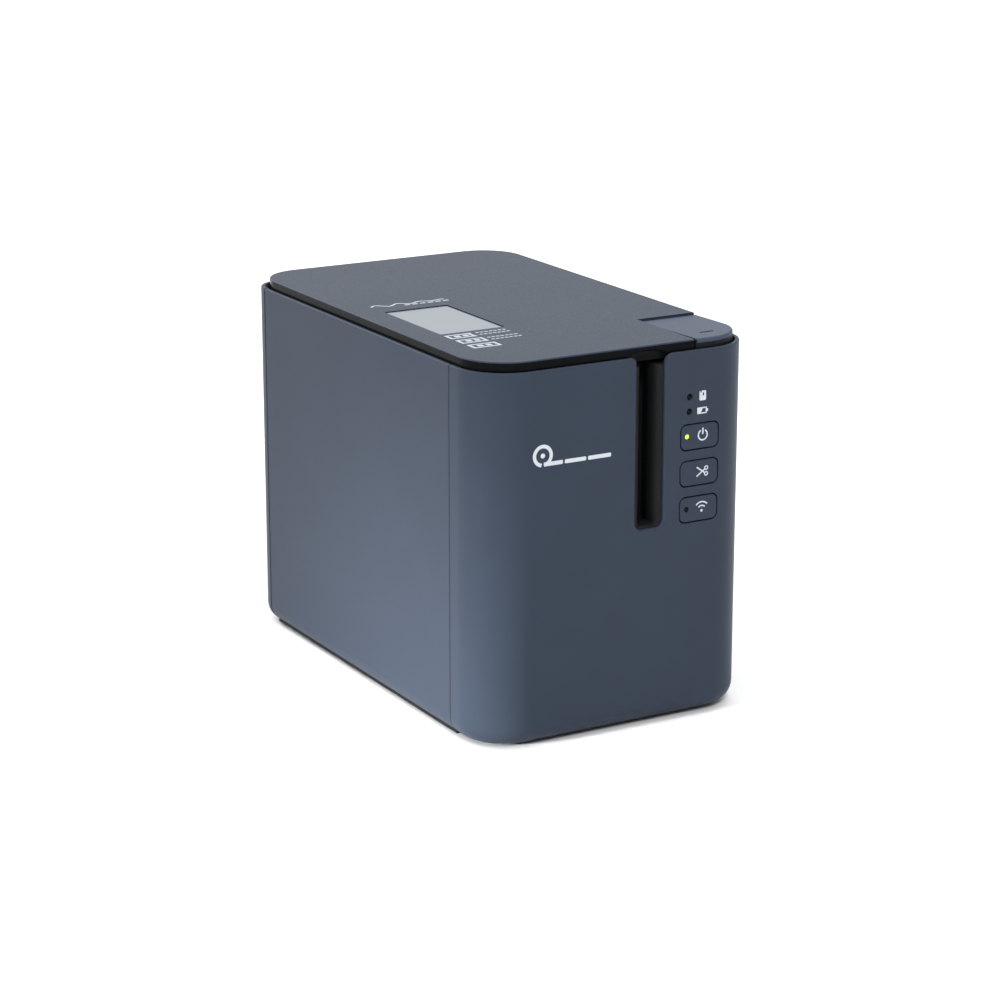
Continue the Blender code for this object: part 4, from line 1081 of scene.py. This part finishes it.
# ---- Release button -------------------------------------------------------------------
# The corner of the lid line is a separate key: a slate ABS cap over black sides. It turns on
# its rear edge, and a short moulded dash shows where to press.

BUTTON_DROP = 0.85
rear_drop = BUTTON_DROP / (BUTTON_REAR - LID_EDGE)
cap_rings = [(lid_outline(0.06), 100.0)]
cap_rings += [(lid_outline(back), PLATE_TOP - drop) for back, drop in rolled_edge(1.0, 6)]
button = drawn("release_button_cap", loft(cap_rings))
carve(button, "INTERSECT", corner_block(0, LID_LOW + 0.3, FAR))
far_y = BUTTON_REAR + 10
above = [(LID_FRONT, PLATE_TOP), (far_y, PLATE_TOP - rear_drop * (far_y - LID_FRONT))]
above += [(far_y, 160), (LID_FRONT, 160)]
carve(button, "DIFFERENCE", prism(above, 0, FAR, "X"))
hollow = carve(
    drawn("hollow", prism(lid_outline(2.0), 100, 143.0)),
    "INTERSECT",
    block(BUTTON_X + 2, FAR, -FAR, BUTTON_REAR - 2, 0, FAR),
)
carve(button, "DIFFERENCE", hollow)
sides = linked("release_button_sides", button.data.copy())
split = 144.4
# Along the cap's left edge the black sides rise in a 0.45 mm strip almost to the top. This is painted
# shade, so the gap to the lid reads as a dark line.
painted_shade_strip_x = BUTTON_X + 0.45
carve(button, "DIFFERENCE", block(-FAR, FAR, -FAR, FAR, 0, split))
carve(button, "DIFFERENCE", block(-FAR, painted_shade_strip_x + 0.03, -FAR, FAR, 0, FAR))
carve(sides, "DIFFERENCE", block(painted_shade_strip_x, FAR, -FAR, FAR, split - 0.02, FAR))
carve(sides, "DIFFERENCE", block(-FAR, FAR, -FAR, FAR, PLATE_TOP - 0.4, FAR))
carve(sides, "UNION", block(40.0, 44.0, -90.2, -85.3, 133.4, split - 0.4))
carve(button, "DIFFERENCE", prism(rounded(39.7, 45.9, -85.2, -83.8, 0.5), split + 0.5, FAR))
soften(button, 0.12)
soften(sides, 0.1)
# The cap is moulded on its own and drawn in a slate a little paler than the lid's. The paler tone is
# painted light, for the brighter light that falls on the cap.
painted_light_slate = eroded_abs("slate_abs_button_cap", "404a5a", 0.4, 0.7, 0.02, gloss=0.07)
place(button, painted_light_slate, "release", "slate_button", "release_button")
place(sides, black_abs, "release", "gloss_black", "release_button")
refined("latch_slide", white_acetal, 0.2)

# ---- Keys and lamps -------------------------------------------------------------------
# Three slate ABS keys sit in windows of the front, over tact switches. Two have a light pipe
# of smoked acrylic, and two more pipes stand beside the cassette and battery marks.

KEY_LAMPS = {"power_key": (27.6, 109.9), "wireless_key": (27.7, 82.0)}
# Smoked acrylic: dark and glossy until its lamp is lit.
dark_lens = plain_finish("smoked_acrylic", "0c0e12", 0.2, 2.0, change=0.05, Specular_IOR_Level=0.1)
# Green lamp: the pipe's end glows, yellower and brighter in its middle.
lit_lens, tree, shader = new_material("lit_acrylic_green", Roughness=0.3)
spot = add_node(tree, "ShaderNodeTexCoord").outputs["Object"]
lamp_x, lamp_z = KEY_LAMPS["power_key"]
lamp_spot = (lamp_x * MM, FRONT_FACE * MM, lamp_z * MM)
away_from = add_node(tree, "ShaderNodeVectorMath", {0: spot, 1: lamp_spot}, operation="DISTANCE")
edge = spread(tree, away_from.outputs["Value"], 0.0, 1.0, 0.0005, 0.0012)
glowing = add_node(
    tree, "ShaderNodeMix", {"Factor": edge, 6: srgb("d8f53f"), 7: srgb("5f9a16")}, data_type="RGBA"
)
tree.links.new(glowing.outputs[2], shader.inputs["Base Color"])
tree.links.new(glowing.outputs[2], shader.inputs["Emission Color"])
shader.inputs["Emission Strength"].default_value = 1.0

for name, height in KEY_HEIGHTS.items():
    back = FRONT_FACE + WALL + 0.4
    body = "key_" + name.replace("_key", "")
    rings = [(key_outline(height, -b), FRONT_FACE + d) for b, d in reversed(rolled_edge(0.35))]
    rings += [(key_outline(height, 0), back)]
    rings += [(key_outline(height, 1.3), back), (key_outline(height, 1.3), back + 1.2)]
    key = drawn(name + "_cap", loft(rings, "Y"))
    if name in KEY_LAMPS:
        lamp = KEY_LAMPS[name]
        hole = turned([(1.2, -FAR), (1.2, FRONT_FACE), (1.05, FRONT_FACE + 0.15), (1.05, -80)], lamp, "Y")
        carve(key, "DIFFERENCE", hole)
        pipe = [(0.25, -95.72), (0.7, -95.66), (0.98, -95.5), (0.98, back + 1.0)]
        lens = drawn(name + "_lamp", turned(pipe, lamp, "Y", steps=28))
        place(soften(lens, 0), lit_lens if name == "power_key" else dark_lens, body, "lamp_lens")
    soften(key, 0)
    place(key, slate_abs, body, "slate_keys", name)
for name, height in LAMP_HEIGHTS.items():
    pipe = [(0.3, -95.5), (0.75, -95.42), (1.08, -95.1), (1.08, -88.8)]
    lens = drawn(name + "_pipe", turned(pipe, (LAMP_X, height), "Y", steps=28))
    place(soften(lens, 0), dark_lens, "housing", "lamp_lens", name)
